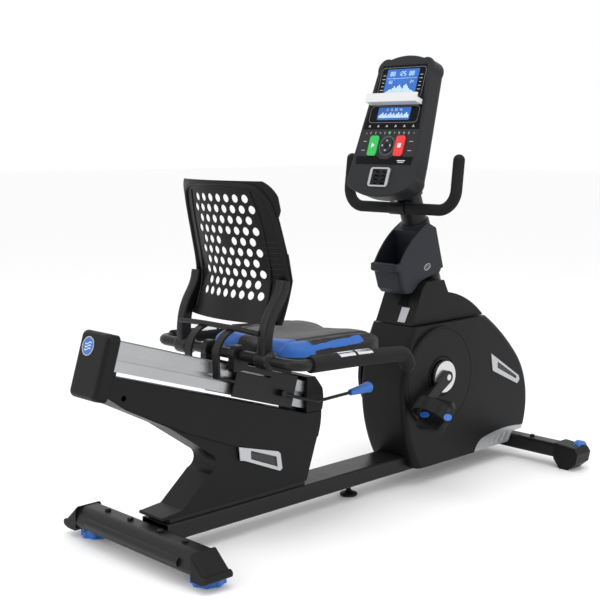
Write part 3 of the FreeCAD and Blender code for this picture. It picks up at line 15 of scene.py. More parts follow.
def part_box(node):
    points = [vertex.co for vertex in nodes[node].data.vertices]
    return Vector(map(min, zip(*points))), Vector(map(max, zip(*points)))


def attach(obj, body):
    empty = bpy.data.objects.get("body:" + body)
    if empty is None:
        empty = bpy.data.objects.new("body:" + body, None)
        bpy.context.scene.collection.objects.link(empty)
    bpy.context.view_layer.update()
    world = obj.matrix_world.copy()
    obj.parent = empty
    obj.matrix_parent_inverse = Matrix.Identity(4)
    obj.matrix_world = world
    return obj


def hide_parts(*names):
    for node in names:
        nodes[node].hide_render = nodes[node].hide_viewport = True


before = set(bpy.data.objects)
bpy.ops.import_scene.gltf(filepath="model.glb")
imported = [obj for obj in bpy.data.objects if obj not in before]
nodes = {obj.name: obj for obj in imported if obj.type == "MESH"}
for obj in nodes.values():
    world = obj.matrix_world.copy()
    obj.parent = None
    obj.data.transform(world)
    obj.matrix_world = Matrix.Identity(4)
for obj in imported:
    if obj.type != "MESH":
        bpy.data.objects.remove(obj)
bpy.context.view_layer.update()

# %% [markdown]
# ## Camera
# The camera stands behind the seat on the rider's right, a little above the console's height, with a long
# lens so that the parallel bars stay nearly parallel.

# %% Camera
camera_data = bpy.data.cameras.new("camera")
camera_data.lens = 68.4
camera_data.sensor_width = 36.0
camera = bpy.data.objects.new("camera", camera_data)
camera.location = (-2.245, -2.195, 1.017)
camera.rotation_euler = (math.radians(82), 0, math.radians(-44))
bpy.context.collection.objects.link(camera)
bpy.context.scene.camera = camera
print("camera looks along the bike from", tuple(round(v, 2) for v in camera.location))

# %% [markdown]
# ## Light and floor
# Black satin plastic only reads through what it reflects, so three large soft panels stand around the bike
# and the surroundings are white. The floor is a plain pale sheet far wider than the bike.

# %% Floor and surroundings
def bare_mesh(name, points, faces, smooth=False):
    """Mesh object from points and faces, linked to the scene."""
    mesh = bpy.data.meshes.new(name)
    mesh.from_pydata([tuple(point) for point in points], [], faces)
    mesh.update()
    if smooth:
        mesh.polygons.foreach_set("use_smooth", [True] * len(mesh.polygons))
    thing = bpy.data.objects.new(name, mesh)
    bpy.context.collection.objects.link(thing)
    return thing


floor = bare_mesh("floor", [(-30, -30, 0), (30, -30, 0), (30, 30, 0), (-30, 30, 0)], [(0, 1, 2, 3)])
floor.location.z = -0.0006
floor_paint = bpy.data.materials.new("floor_paint")
floor_paint.use_nodes = True
floor_paint.node_tree.nodes["Principled BSDF"].inputs["Base Color"].default_value = (0.965, 0.965, 0.965, 1)
floor_paint.node_tree.nodes["Principled BSDF"].inputs["Roughness"].default_value = 0.55
floor.data.materials.append(floor_paint)

surroundings = bpy.data.worlds.new("surroundings")
surroundings.use_nodes = True
surroundings.node_tree.nodes["Background"].inputs["Color"].default_value = (1, 1, 1, 1)
surroundings.node_tree.nodes["Background"].inputs["Strength"].default_value = 1.0
bpy.context.scene.world = surroundings
bpy.context.scene.view_settings.view_transform = "Standard"


# %% Soft panels of light
def soft_panel(name, place, target, wide, tall, watts):
    """Rectangular area light at place, aimed at target."""
    data = bpy.data.lights.new(name, "AREA")
    data.shape = "RECTANGLE"
    data.size, data.size_y, data.energy = wide, tall, watts
    lamp = bpy.data.objects.new(name, data)
    lamp.location = place
    lamp.rotation_euler = (Vector(target) - Vector(place)).to_track_quat("-Z", "Y").to_euler()
    bpy.context.collection.objects.link(lamp)
    return lamp


panels = [
    soft_panel("panel_over", (-0.4, -0.6, 3.4), (0, 0, 0.4), 3.0, 2.4, 42),
    soft_panel("panel_rear", (-3.2, 0.8, 1.9), (-0.3, 0, 0.5), 1.6, 2.2, 26),
    soft_panel("panel_right", (0.9, -3.2, 1.6), (0.2, 0, 0.5), 2.2, 1.8, 24),
]
print(len(panels), "soft panels")

# %% [markdown]
# ## Effects that several finishes share
# Every moulded or painted surface has the same few things going on: a fine grain from the tool, a slow drift
# in tone and gloss, a little dust that settles on top, and edges rubbed lighter by use. Each of these is a
# node group with its own inputs, so a finish is only a choice of numbers.

# %% Node helpers
def put(tree, kind, sockets=None, **settings):
    """Add a node. sockets holds input values or the outputs to join to them."""
    made = tree.nodes.new("ShaderNode" + kind)
    for name, value in settings.items():
        setattr(made, name, value)
    for name, value in (sockets or {}).items():
        if isinstance(value, bpy.types.NodeSocket):
            tree.links.new(value, made.inputs[name])
        else:
            made.inputs[name].default_value = value
    return made


def math_node(tree, operation, first, second=0.0, clamp=False):
    return put(tree, "Math", {0: first, 1: second}, operation=operation, use_clamp=clamp).outputs[0]


def effect(name, inputs, outputs):
    """Empty node group; gives the tree, its input sockets and its output sockets."""
    tree = bpy.data.node_groups.new(name, "ShaderNodeTree")
    for label, kind, value in inputs:
        socket = tree.interface.new_socket(name=label, in_out="INPUT", socket_type="NodeSocket" + kind)
        socket.default_value = value
    for label, kind in outputs:
        tree.interface.new_socket(name=label, in_out="OUTPUT", socket_type="NodeSocket" + kind)
    return tree, tree.nodes.new("NodeGroupInput").outputs, tree.nodes.new("NodeGroupOutput").inputs


def place_effect(tree, name, sockets):
    """Put a finished node group into a material."""
    made = tree.nodes.new("ShaderNodeGroup")
    made.node_tree = bpy.data.node_groups[name]
    for label, value in sockets.items():
        if isinstance(value, bpy.types.NodeSocket):
            tree.links.new(value, made.inputs[label])
        else:
            made.inputs[label].default_value = value
    return made


# %% Grain of a moulded or coated surface
tree, given, result = effect("fine_grain", [("Scale", "Float", 900.0), ("Depth", "Float", 0.3)],
                             [("Height", "Float")])
where = put(tree, "TexCoord").outputs["Object"]
speckle = put(tree, "TexNoise", {"Vector": where, "Scale": given["Scale"], "Detail": 3.0}).outputs["Fac"]
cells = put(tree, "TexVoronoi", {"Vector": where, "Scale": math_node(tree, "MULTIPLY", given["Scale"], 0.7)})
mixed = math_node(tree, "ADD", speckle, math_node(tree, "MULTIPLY", cells.outputs["Distance"], 0.5))
tree.links.new(math_node(tree, "MULTIPLY", mixed, given["Depth"]), result["Height"])

# %% Slow drift of tone, with settled dust
tree, given, result = effect(
    "tone_drift", [("Colour", "Color", (0.5, 0.5, 0.5, 1)), ("Amount", "Float", 0.1), ("Dust", "Float", 0.04)],
    [("Colour", "Color")])
where = put(tree, "TexCoord").outputs["Object"]
slow = put(tree, "TexNoise", {"Vector": where, "Scale": 7.0, "Detail": 4.0}).outputs["Fac"]
level = math_node(tree, "ADD", math_node(tree, "MULTIPLY", math_node(tree, "SUBTRACT", slow, 0.5),
                                         given["Amount"]), 1.0)
toned = put(tree, "VectorMath", {0: given["Colour"]}, operation="SCALE")
tree.links.new(level, toned.inputs["Scale"])
facing = put(tree, "SeparateXYZ", {0: put(tree, "NewGeometry").outputs["Normal"]}).outputs["Z"]
motes = put(tree, "TexNoise", {"Vector": where, "Scale": 60.0, "Detail": 6.0}).outputs["Fac"]
settled = math_node(tree, "MULTIPLY", math_node(tree, "MULTIPLY", facing, motes, clamp=True), given["Dust"], True)
dusty = put(tree, "Mix", {"Factor": settled, 6: toned.outputs[0], 7: (0.5, 0.49, 0.47, 1)}, data_type="RGBA")
tree.links.new(dusty.outputs[2], result["Colour"])

# %% Drift of gloss
tree, given, result = effect("gloss_drift", [("Roughness", "Float", 0.4), ("Spread", "Float", 0.1)],
                             [("Roughness", "Float")])
where = put(tree, "TexCoord").outputs["Object"]
smear = put(tree, "TexNoise", {"Vector": where, "Scale": 16.0, "Detail": 5.0}).outputs["Fac"]
swing = math_node(tree, "MULTIPLY", math_node(tree, "SUBTRACT", smear, 0.5), given["Spread"])
tree.links.new(math_node(tree, "ADD", given["Roughness"], swing, clamp=True), result["Roughness"])

# %% Rubbed edges
tree, given, result = effect(
    "rubbed_edges", [("Colour", "Color", (0.5, 0.5, 0.5, 1)), ("Worn", "Color", (0.2, 0.2, 0.2, 1)),
                     ("Amount", "Float", 0.3), ("Rounded", "Vector", (0, 0, 1))], [("Colour", "Color")])
true_normal = put(tree, "NewGeometry").outputs["Normal"]
agree = put(tree, "VectorMath", {0: given["Rounded"], 1: true_normal}, operation="DOT_PRODUCT").outputs["Value"]
turned = math_node(tree, "MULTIPLY", math_node(tree, "SUBTRACT", 1.0, agree), 5.0, clamp=True)
where = put(tree, "TexCoord").outputs["Object"]
patchy = put(tree, "TexNoise", {"Vector": where, "Scale": 45.0, "Detail": 5.0}).outputs["Fac"]
share = math_node(tree, "MULTIPLY", math_node(tree, "MULTIPLY", turned, patchy), given["Amount"], clamp=True)
rubbed = put(tree, "Mix", {"Factor": share, 6: given["Colour"], 7: given["Worn"]}, data_type="RGBA")
tree.links.new(rubbed.outputs[2], result["Colour"])
print(len(bpy.data.node_groups), "shared effects")


# %% [markdown]
# ## Finishes
# One function mixes the shared effects into a finish. The bevel node rounds hard corners in the shading
# only, so a sharp solid still catches a thin highlight like a real moulding does.

# %% Plain finishes
def finish(name, colour, roughness, grain=900.0, depth=0.25, drift=0.25, dust=0.03, worn=None, wear=0.3,
           metal=0.0, coat=0.0, rounding=0.0012, spread=0.12, shine=0.5):
    """Material with grain, drift, dust and rubbed edges."""
    material = bpy.data.materials.new(name)
    material.use_nodes = True
    tree = material.node_tree
    skin = tree.nodes["Principled BSDF"]
    rounded = put(tree, "Bevel", {"Radius": rounding}, samples=4).outputs["Normal"]
    toned = place_effect(tree, "tone_drift", {"Colour": (*colour, 1), "Amount": drift, "Dust": dust})
    worn = worn or tuple(min(1.0, value * 2.5 + 0.03) for value in colour)
    edged = place_effect(tree, "rubbed_edges", {"Colour": toned.outputs[0], "Worn": (*worn, 1),
                                                "Amount": wear, "Rounded": rounded})
    gloss = place_effect(tree, "gloss_drift", {"Roughness": roughness, "Spread": spread})
    height = place_effect(tree, "fine_grain", {"Scale": grain, "Depth": depth}).outputs[0]
    bump = put(tree, "Bump", {"Strength": 0.35, "Distance": 0.0004, "Height": height, "Normal": rounded})
    tree.links.new(edged.outputs[0], skin.inputs["Base Color"])
    tree.links.new(gloss.outputs[0], skin.inputs["Roughness"])
    tree.links.new(bump.outputs[0], skin.inputs["Normal"])
    skin.inputs["Metallic"].default_value = metal
    skin.inputs["Coat Weight"].default_value = coat
    skin.inputs["Specular IOR Level"].default_value = shine
    skin.inputs["Coat Roughness"].default_value = 0.12
    return material


black_coat = finish("black_coat", (0.0062, 0.0062, 0.0068), 0.36, grain=1400, depth=0.5, dust=0.012,
                    worn=(0.03, 0.03, 0.032), shine=0.22)
black_plastic = finish("black_plastic", (0.0055, 0.0055, 0.0060), 0.42, grain=1100, depth=0.55, dust=0.012,
                       worn=(0.022, 0.022, 0.024), shine=0.14)
# Near-black finish for painted shade: the rings on the crank cover and the recess at the foot of the mast.
shade_black = finish("shade_black", (0.002, 0.002, 0.0025), 0.6, grain=700, dust=0.0, worn=(0.01, 0.01, 0.01),
                    shine=0.08)
grey_plastic = finish("grey_plastic", (0.014, 0.0155, 0.021), 0.44, grain=1000, depth=0.6, dust=0.015,
                      worn=(0.05, 0.052, 0.06), shine=0.2)
console_grey = finish("console_grey", (0.0125, 0.013, 0.0145), 0.42, grain=1000, depth=0.6, dust=0.012,
                      worn=(0.045, 0.045, 0.05), shine=0.2)
panel_black = finish("panel_black", (0.0022, 0.0022, 0.003), 0.2, depth=0.05, dust=0.003,
                     worn=(0.01, 0.01, 0.012), shine=0.1)
silver_paint = finish("silver_paint", (0.42, 0.425, 0.44), 0.30, grain=1600, depth=0.3, metal=0.55, coat=0.3,
                      worn=(0.8, 0.8, 0.8))
zinc_steel = finish("zinc_steel", (0.62, 0.62, 0.63), 0.28, grain=600, depth=0.2, metal=1.0, worn=(0.8, 0.8, 0.8))
polished_steel = finish("polished_steel", (0.80, 0.80, 0.82), 0.12, depth=0.05, metal=1.0, worn=(0.9, 0.9, 0.9))
cast_iron = finish("cast_iron", (0.17, 0.17, 0.175), 0.42, grain=250, depth=1.0, metal=0.9)
foam = finish("foam", (0.008, 0.008, 0.0085), 0.78, grain=420, depth=2.2, coat=0.0, wear=0.1, dust=0.015,
              shine=0.2)
rubber = finish("rubber", (0.009, 0.009, 0.009), 0.7, grain=500, depth=0.8, dust=0.015, shine=0.2)
blue_plastic = finish("blue_plastic", (0.012, 0.115, 0.44), 0.34, grain=900, depth=0.4, worn=(0.1, 0.3, 0.7))
white_nylon = finish("white_nylon", (0.72, 0.72, 0.70), 0.45, grain=700)
pale_plastic = finish("pale_plastic", (0.60, 0.60, 0.605), 0.34, grain=1100, depth=0.4, drift=0.06)
green_key = finish("green_key", (0.012, 0.42, 0.075), 0.32, depth=0.2, drift=0.1)
red_key = finish("red_key", (0.66, 0.018, 0.022), 0.32, depth=0.2, drift=0.1)
key_grey = finish("key_grey", (0.016, 0.0165, 0.019), 0.42, depth=0.3, dust=0.01, worn=(0.05, 0.05, 0.055),
                  shine=0.2)
print(len([m for m in bpy.data.materials if m.users or m.use_nodes]), "finishes so far")

# %% [markdown]
# Extruded aluminium keeps fine draw lines along its length. They are a noise stretched along the rail: the
# coordinates are turned to the rail's slope and squeezed in that direction before the noise reads them.

# %% Drawn aluminium
rail_slope = math.radians(17)
drawn_aluminium = finish("drawn_aluminium", (0.36, 0.365, 0.375), 0.36, depth=0.1, metal=1.0, worn=(0.8, 0.8, 0.8))
tree = drawn_aluminium.node_tree
skin = tree.nodes["Principled BSDF"]
turned = put(tree, "Mapping", {"Vector": put(tree, "TexCoord").outputs["Object"],
                               "Rotation": (0, -rail_slope, 0), "Scale": (3.0, 900.0, 900.0)})
streaks = put(tree, "TexNoise", {"Vector": turned.outputs[0], "Scale": 1.0, "Detail": 3.0}).outputs["Fac"]
lines = put(tree, "Bump", {"Strength": 0.12, "Distance": 0.0002, "Height": streaks})
tree.links.new(lines.outputs[0], skin.inputs["Normal"])
streaked = math_node(tree, "ADD", math_node(tree, "MULTIPLY", streaks, 0.2), 0.26)
tree.links.new(streaked, skin.inputs["Roughness"])
skin.inputs["Anisotropic"].default_value = 0.4

# %% [markdown]
# The vent inserts are thin sheets with a grid of small round holes. Cutting hundreds of holes would only add
# weight, so the holes are near-black discs of painted shade from a cell texture, pushed in with a bump.

# %% Perforated sheet
perforated = finish("perforated", (0.035, 0.035, 0.038), 0.45)
tree = perforated.node_tree
skin = tree.nodes["Principled BSDF"]
grid = put(tree, "TexVoronoi", {"Vector": put(tree, "TexCoord").outputs["Object"], "Scale": 260.0,
                                "Randomness": 0.0})
hole = math_node(tree, "LESS_THAN", grid.outputs["Distance"], 0.34)
# Painted shade: each hole is coloured near-black to stand for the dark inside it.
hole_shade_paint = put(tree, "Mix", {"Factor": hole, 6: (0.03, 0.03, 0.033, 1), 7: (0.001, 0.001, 0.001, 1)},
            data_type="RGBA")
tree.links.new(hole_shade_paint.outputs[2], skin.inputs["Base Color"])
dent = put(tree, "Bump", {"Strength": 0.8, "Distance": 0.0006, "Height": hole}, invert=True)
tree.links.new(dent.outputs[0], skin.inputs["Normal"])

# %% [markdown]
# ## Finishes on the solids
# Every solid gets the finish its real piece has. Solids come in with flat facets, so faces are shaded smooth
# and only the edges sharper than 32 degrees stay crisp.

# %% Give each solid its finish
FINISHES = {
    black_coat: ["main_beam", "rear_stabiliser", "front_stabiliser", "rear_column", "carriage", "seat_handlebar",
                 "seat_pan", "seat_lever", "drive_frame", "crank_arms", "mast", "handlebar", "frame_bolts"],
    black_plastic: ["stabiliser_caps", "centre_foot", "rail_end_cap", "rear_shroud_right", "rear_shroud_left",
                    "rail_front_cover", "backrest_shell", "backrest_frame", "drive_pulley", "pedal_right",
                    "pedal_left", "brake_motor", "front_shroud_right", "front_shroud_left", "shroud_top_cover",
                    "power_inlet", "handlebar_clamp", "fan_rotor"],
    grey_plastic: ["mast_bucket"],
    console_grey: ["console_back", "console_front"],
    panel_black: ["console_panel"],
    silver_paint: ["silver_trim", "fan_bezel"],
    zinc_steel: ["crank_axle", "magnet_bracket"],
    polished_steel: ["pulse_sensors"],
    cast_iron: ["flywheel"],
    foam: ["seat_grips", "handlebar_grips"],
    rubber: ["lock_pad", "drive_belt", "seat_cushion"],
    blue_plastic: ["wheel_right", "wheel_left", "foot_right", "foot_left", "lever_grip"],
    white_nylon: ["roller_rear", "roller_front"],
    pale_plastic: ["media_tray"],
    green_key: ["start_key"],
    red_key: ["stop_key"],
    key_grey: ["nav_pad", "displays"],
    drawn_aluminium: ["seat_rail"],
    perforated: ["vent_meshes"],
}


def crisp_by_angle(mesh, degrees):
    """Shade smooth, with edges sharper than the angle kept crisp."""
    mesh.polygons.foreach_set("use_smooth", [True] * len(mesh.polygons))
    mesh.set_sharp_from_angle(angle=math.radians(degrees))


for material, names in FINISHES.items():
    for name in names:
        mesh = nodes[name].data
        mesh.materials.clear()
        mesh.materials.append(material)
        crisp_by_angle(mesh, 32)
left_out = set(nodes) - {name for names in FINISHES.values() for name in names}
print("solids without a finish:", sorted(left_out))

# %% [markdown]
# ## Helpers for small moulded and printed pieces
# Badges, keys, frames and trim are all thin plates with a rounded rim. One helper cuts a plate from any
# outline, and a second stands it on a slanted face, so a piece can be drawn flat and then put in its place.

# %% Outlines
def rounded_box(u, v, wide, tall, radius, steps=5):
    """Outline of a rectangle with round corners, anticlockwise."""
    points = []
    for centre_u, centre_v, start in ((1, 1, 0), (-1, 1, 90), (-1, -1, 180), (1, -1, 270)):
        for n in range(steps + 1):
            turn = math.radians(start + 90 * n / steps)
            points.append((u + centre_u * (wide / 2 - radius) + radius * math.cos(turn),
                           v + centre_v * (tall / 2 - radius) + radius * math.sin(turn)))
    return points


def ring_points(u, v, radius, count=40, squeeze=1.0, lean=0.0):
    """Points of a circle or an oval, leaning by an angle in degrees."""
    lean = math.radians(lean)
    points = []
    for n in range(count):
        turn = 2 * math.pi * n / count
        a, b = radius * math.cos(turn), radius * squeeze * math.sin(turn)
        points.append((u + a * math.cos(lean) - b * math.sin(lean), v + a * math.sin(lean) + b * math.cos(lean)))
    return points


def drawn_in(points, amount):
    """The outline moved inwards by an amount."""
    moved = []
    for n, (u, v) in enumerate(points):
        before, after = points[n - 1], points[(n + 1) % len(points)]
        du, dv = after[0] - before[0], after[1] - before[1]
        length = math.hypot(du, dv) or 1.0
        moved.append((u - amount * dv / length, v + amount * du / length))
    return moved


# %% Plates on a face
def put_on(piece, material, body):
    """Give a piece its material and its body."""
    piece.data.materials.clear()
    piece.data.materials.append(material)
    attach(piece, body)
    return piece


def plates(name, outlines, low, high, place, material, body, rim=0.15):
    """One piece made of flat plates with a softened rim. place turns (u, v, height) into a point."""
    points, faces = [], []
    for outline in outlines:
        inner = drawn_in(outline, rim)
        start, count = len(points), len(outline)
        for ring, height in ((outline, low), (outline, high - rim), (inner, high)):
            points += [place(u, v, height) for u, v in ring]
        for level in (0, 1):
            for n in range(count):
                m = (n + 1) % count
                a, b = start + level * count, start + (level + 1) * count
                faces.append((a + n, a + m, b + m, b + n))
        faces.append(tuple(start + 2 * count + n for n in range(count)))
        faces.append(tuple(start + n for n in reversed(range(count))))
    piece = bare_mesh(name, points, faces)
    crisp_by_angle(piece.data, 40)
    return put_on(piece, material, body)


def hoops(name, rings, low, high, place, material, body):
    """Flat hoops. Each is an outline and its width."""
    points, faces = [], []
    for outline, width in rings:
        inner = drawn_in(outline, width)
        start, count = len(points), len(outline)
        for ring, height in ((outline, low), (outline, high), (inner, high), (inner, low)):
            points += [place(u, v, height) for u, v in ring]
        for level in range(4):
            for n in range(count):
                m = (n + 1) % count
                a, b = start + level * count, start + (level + 1) % 4 * count
                faces.append((a + n, a + m, b + m, b + n))
    piece = bare_mesh(name, points, faces)
    crisp_by_angle(piece.data, 40)
    return put_on(piece, material, body)


def round_bar(name, lines, radius, material, body, sides=12, flat=1.0):
    """Round bars along lines of points, with domed ends, joined in one piece."""
    points, faces = [], []
    for line in lines:
        line = [Vector(point) for point in line]
        first, last = line[0], line[-1]
        heads = [first + (first - line[1]).normalized() * radius * 0.6]
        tails = [last + (last - line[-2]).normalized() * radius * 0.6]
        rows = heads + line + tails
        start = len(points)
        side = None
        for n, middle in enumerate(rows):
            along = (rows[min(n + 1, len(rows) - 1)] - rows[max(n - 1, 0)]).normalized()
            side = along.orthogonal() if side is None else side - along * side.dot(along)
            side.normalize()
            other = along.cross(side)
            reach = radius * (0.35 if n in (0, len(rows) - 1) else 1.0)
            for k in range(sides):
                turn = 2 * math.pi * k / sides
                points.append(middle + side * math.cos(turn) * reach + other * math.sin(turn) * reach * flat)
        for n in range(len(rows) - 1):
            for k in range(sides):
                m = (k + 1) % sides
                a, b = start + n * sides, start + (n + 1) * sides
                faces.append((a + k, a + m, b + m, b + k))
        faces.append(tuple(start + k for k in reversed(range(sides))))
        faces.append(tuple(start + (len(rows) - 1) * sides + k for k in range(sides)))
    piece = bare_mesh(name, points, faces)
    crisp_by_angle(piece.data, 60)
    return put_on(piece, material, body)


# %% Places on slanted faces
console_lean = math.radians(18.5)


def on_console(u, v, height):
    """Point on the console's face: u to the rider's right, v up the face, in millimetres."""
    s, c = math.sin(console_lean), math.cos(console_lean)
    return Vector((172 + v * s - height * c, -u, 858 + v * c + height * s)) / 1000


def on_rail(along, side, above):
    """Point in the rail's own directions, in millimetres."""
    s, c = math.sin(rail_slope), math.cos(rail_slope)
    return Vector((-760 + along * c + above * s, side, 525 - along * s + above * c)) / 1000


def face_height(node):
    """Height of a console node above the face, in millimetres."""
    zero, out = on_console(0, 0, 0), on_console(0, 0, 1) - on_console(0, 0, 0)
    return max((vertex.co - zero).dot(out) for vertex in nodes[node].data.vertices) / out.length_squared


print("pad stands", round(face_height("nav_pad"), 2), "mm, screens", round(face_height("displays"), 2), "mm")

# %% [markdown]
# ## Finishes of the console
# A lit screen is a pale blue glow behind a grid of fine cells. The glow drifts a little from side to side, as
# a real backlight does, and everything printed is a slightly rough paint rather than a pure white.

# %% Screen and print
def glow(name, colour, strength, cell_shade=0.25):
    """Lit screen with a slow drift and a fine cell grid."""
    material = bpy.data.materials.new(name)
    material.use_nodes = True
    tree = material.node_tree
    skin = tree.nodes["Principled BSDF"]
    where = put(tree, "TexCoord").outputs["Object"]
    drift = put(tree, "TexNoise", {"Vector": where, "Scale": 24.0, "Detail": 2.0}).outputs["Fac"]
    grid = put(tree, "TexVoronoi", {"Vector": where, "Scale": 700.0, "Randomness": 0.0}).outputs["Distance"]
    shade = math_node(tree, "ADD", math_node(tree, "MULTIPLY", drift, 0.5),
                      math_node(tree, "MULTIPLY", grid, -cell_shade))
    level = math_node(tree, "ADD", shade, 0.85)
    lit = put(tree, "VectorMath", {0: colour}, operation="SCALE")
    tree.links.new(level, lit.inputs["Scale"])
    tree.links.new(lit.outputs[0], skin.inputs["Emission Color"])
    tree.links.new(lit.outputs[0], skin.inputs["Base Color"])
    skin.inputs["Emission Strength"].default_value = strength
    skin.inputs["Roughness"].default_value = 0.2
    return material


screen_blue = glow("screen_blue", (0.010, 0.085, 0.33), 0.5)
screen_pale = glow("screen_pale", (0.42, 0.56, 0.70), 0.4)
print_white = finish("print_white", (0.62, 0.63, 0.64), 0.5, depth=0.1, drift=0.15)
print_grey = finish("print_grey", (0.20, 0.21, 0.23), 0.5, depth=0.1, drift=0.15)
print("screen and print finishes made")

# %% [markdown]
# ## Console face
# The face has a black glossy window over both screens, thin frames around them, six function marks, a scale
# of eleven settings, and a black band across the bottom. Digits are drawn with seven short bars each, which
# is how a cheap segment display makes them.

# %% Black windows
def window_half(v):
    """Half width of the printed panel at a height."""
    return 83.5 + (395.5 - v) * 30 / 245.5 if v > 150 else 105.5 + (v - 92.5) * 8 / 57.5


window = [(-window_half(199) + 1, 199), (window_half(199) - 1, 199), (window_half(393) - 1, 393),
          (-window_half(393) + 1, 393)]
band = [(-window_half(94) + 1, 94), (window_half(94) - 1, 94), (window_half(118) - 1, 118),
        (26, 118), (14, 110), (-14, 110), (-26, 118), (-window_half(118) + 1, 118)]
plates("console_window", [window], 0, 0.08, on_console, panel_black, "frame", rim=0.03)
plates("console_band", [band], 0, 0.08, on_console, panel_black, "frame", rim=0.03)
nodes["console_panel"].data.materials.clear()
nodes["console_panel"].data.materials.append(key_grey)
print("windows reach", round(window_half(199)), "mm each side")

# %% Segment digits
SEGMENTS = {"0": "abcdef", "1": "bc", "2": "abged", "3": "abgcd", "4": "fgbc", "5": "afgcd", "6": "afgedc",
            "7": "abc", "8": "abcdefg", "9": "abcdfg", "-": "g"}


def digit(figure, u, v, tall, weight):
    """Outlines of a segment digit with its lower left corner at (u, v)."""
    wide = tall * 0.55
    bars = {"a": (wide / 2, tall, wide, 0), "g": (wide / 2, tall / 2, wide, 0), "d": (wide / 2, 0, wide, 0),
            "f": (0, tall * 0.75, tall / 2, 1), "b": (wide, tall * 0.75, tall / 2, 1),
            "e": (0, tall * 0.25, tall / 2, 1), "c": (wide, tall * 0.25, tall / 2, 1)}
    outlines = []
    for letter in SEGMENTS[figure]:
        x, y, length, upright = bars[letter]
        length -= weight * 0.7
        a, b = (weight, length) if upright else (length, weight)
        outlines.append(rounded_box(u + x, v + y, a, b, weight * 0.3, 2))
    return outlines


def figures(text, u, v, tall, weight):
    """Outlines of a row of digits that is centred on u."""
    step = tall * 0.85
    start = u - step * len(text) / 2 + step * 0.16
    return [line for n, letter in enumerate(text) if letter in SEGMENTS
            for line in digit(letter, start + n * step, v, tall, weight)]


# %% Screens
screen_top = face_height("displays")
upper_screen = plates("upper_screen", [rounded_box(0, 341, 120, 78, 4)], 0.08, screen_top + 0.3, on_console,
                      screen_blue, "frame")
lower_screen = plates("lower_screen", [rounded_box(0, 246, 122, 38, 4)], 0.08, screen_top + 0.3, on_console,
                      screen_blue, "frame")
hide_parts("displays")
heights = [6, 9, 13, 13, 17, 22, 17, 22, 26, 20, 15, 24, 28, 22, 15, 11, 9, 6]
bars = [rounded_box(-51 + 6 * n, 306 + tall / 2, 5.2, tall, 0.4, 1) for n, tall in enumerate(heights)]
lines = bars + [rounded_box(0, 352, 112, 1.0, 0.3, 1), rounded_box(-26, 349, 1.0, 6, 0.3, 1)]
lines += figures("88 125 88", -2, 360, 12, 2.2) + figures("24", 40, 337, 8, 1.5) + figures("60", -40, 337, 8, 1.5)
plates("upper_readings", lines, screen_top + 0.3, screen_top + 0.42, on_console, screen_pale, "frame",
       rim=0.05)
lower = [rounded_box(-54 + 6 * n, 233 + 4 + (n * 7 % 5), 5.0, 8 + 2 * (n * 7 % 5), 0.4, 1) for n in range(19)]
lower += figures("0 15 30 45", 0, 254, 7, 1.3)
plates("lower_readings", lower, screen_top + 0.3, screen_top + 0.42, on_console, screen_pale, "frame",
       rim=0.05)
print(len(lines) + len(lower), "marks on the screens")

# %% Frames and printed marks
hoops("screen_frames", [(rounded_box(0, 340, 168, 92, 12), 1.1), (rounded_box(0, 244, 184, 50, 12), 1.1)],
      0.0, 0.2, on_console, print_grey, "frame")
marks = []
for n in range(6):
    u = -82.5 + 33 * n
    marks += [rounded_box(u, 207, 9, 1.6, 0.5, 2), rounded_box(u, 210.5, 4.5, 2.6, 1.0, 2)]
for n in range(5):
    for side in (-1, 1):
        marks += [rounded_box(side * 70, 318 + 11 * n, 12 - 2 * (n % 3), 1.5, 0.4, 1)]
plates("function_marks", marks, 0.08, 0.18, on_console, print_white, "frame", rim=0.04)
scale = []
for n in range(11):
    if n != 5:
        scale += figures(str((n + 1) % 10), -90 + 18 * n, 185, 6, 1.1)
scale += [rounded_box(side * 88, v, 14, 1.3, 0.4, 1) for side in (-1, 1) for v in (163, 136)]
plates("setting_scale", scale, 0.0, 0.1, on_console, print_white, "frame", rim=0.04)
plates("middle_setting", [ring_points(0, 189, 4.5, 24)], 0.0, 0.12, on_console, green_key, "frame",
       rim=0.04)
plates("band_mark", [rounded_box(66, 106, 30, 3, 1), rounded_box(66, 101, 22, 2, 0.8)], 0.08, 0.18, on_console,
       print_white, "frame", rim=0.04)
pad_rings = [(ring_points(0, 150, 29, 48), 0.9), (ring_points(0, 150, 25.5, 48), 0.5)]
hoops("pad_arcs", pad_rings, 0.0, 0.25, on_console, print_grey, "frame")
print(len(marks) + len(scale), "printed marks")

# %% [markdown]
# ## Keys
# The two large keys carry plain symbols: a triangle to start and a square to stop. The round pad between them
# has four arrows and a raised centre. Each piece rides with its own key, so it moves when the key is pressed.

# %% Key symbols
start_top, stop_top, pad_top = face_height("start_key"), face_height("stop_key"), face_height("nav_pad")
plates("start_symbol", [[(-56, 142), (-43, 150), (-56, 158)]], start_top - 0.1, start_top + 0.2, on_console,
       print_white, "start_button", rim=0.1)
plates("stop_symbol", [rounded_box(50, 150, 13, 13, 1.0)], stop_top - 0.1, stop_top + 0.2, on_console,
       print_white, "stop_button", rim=0.1)
arrows = []
for n in range(4):
    turn = math.radians(90 * n)
    tip, foot_a, foot_b = (17.5, 0), (13, -4), (13, 4)
    arrows.append([(p * math.cos(turn) - q * math.sin(turn), 150 + p * math.sin(turn) + q * math.cos(turn))
                   for p, q in (tip, foot_b, foot_a)])
plates("pad_arrows", arrows, pad_top - 0.1, pad_top + 0.15, on_console, print_white, "nav_button",
       rim=0.05)
plates("pad_centre", [ring_points(0, 150, 8, 32)], pad_top - 0.2, pad_top + 0.9, on_console, black_plastic,
       "nav_button", rim=0.5)
print("keys marked")

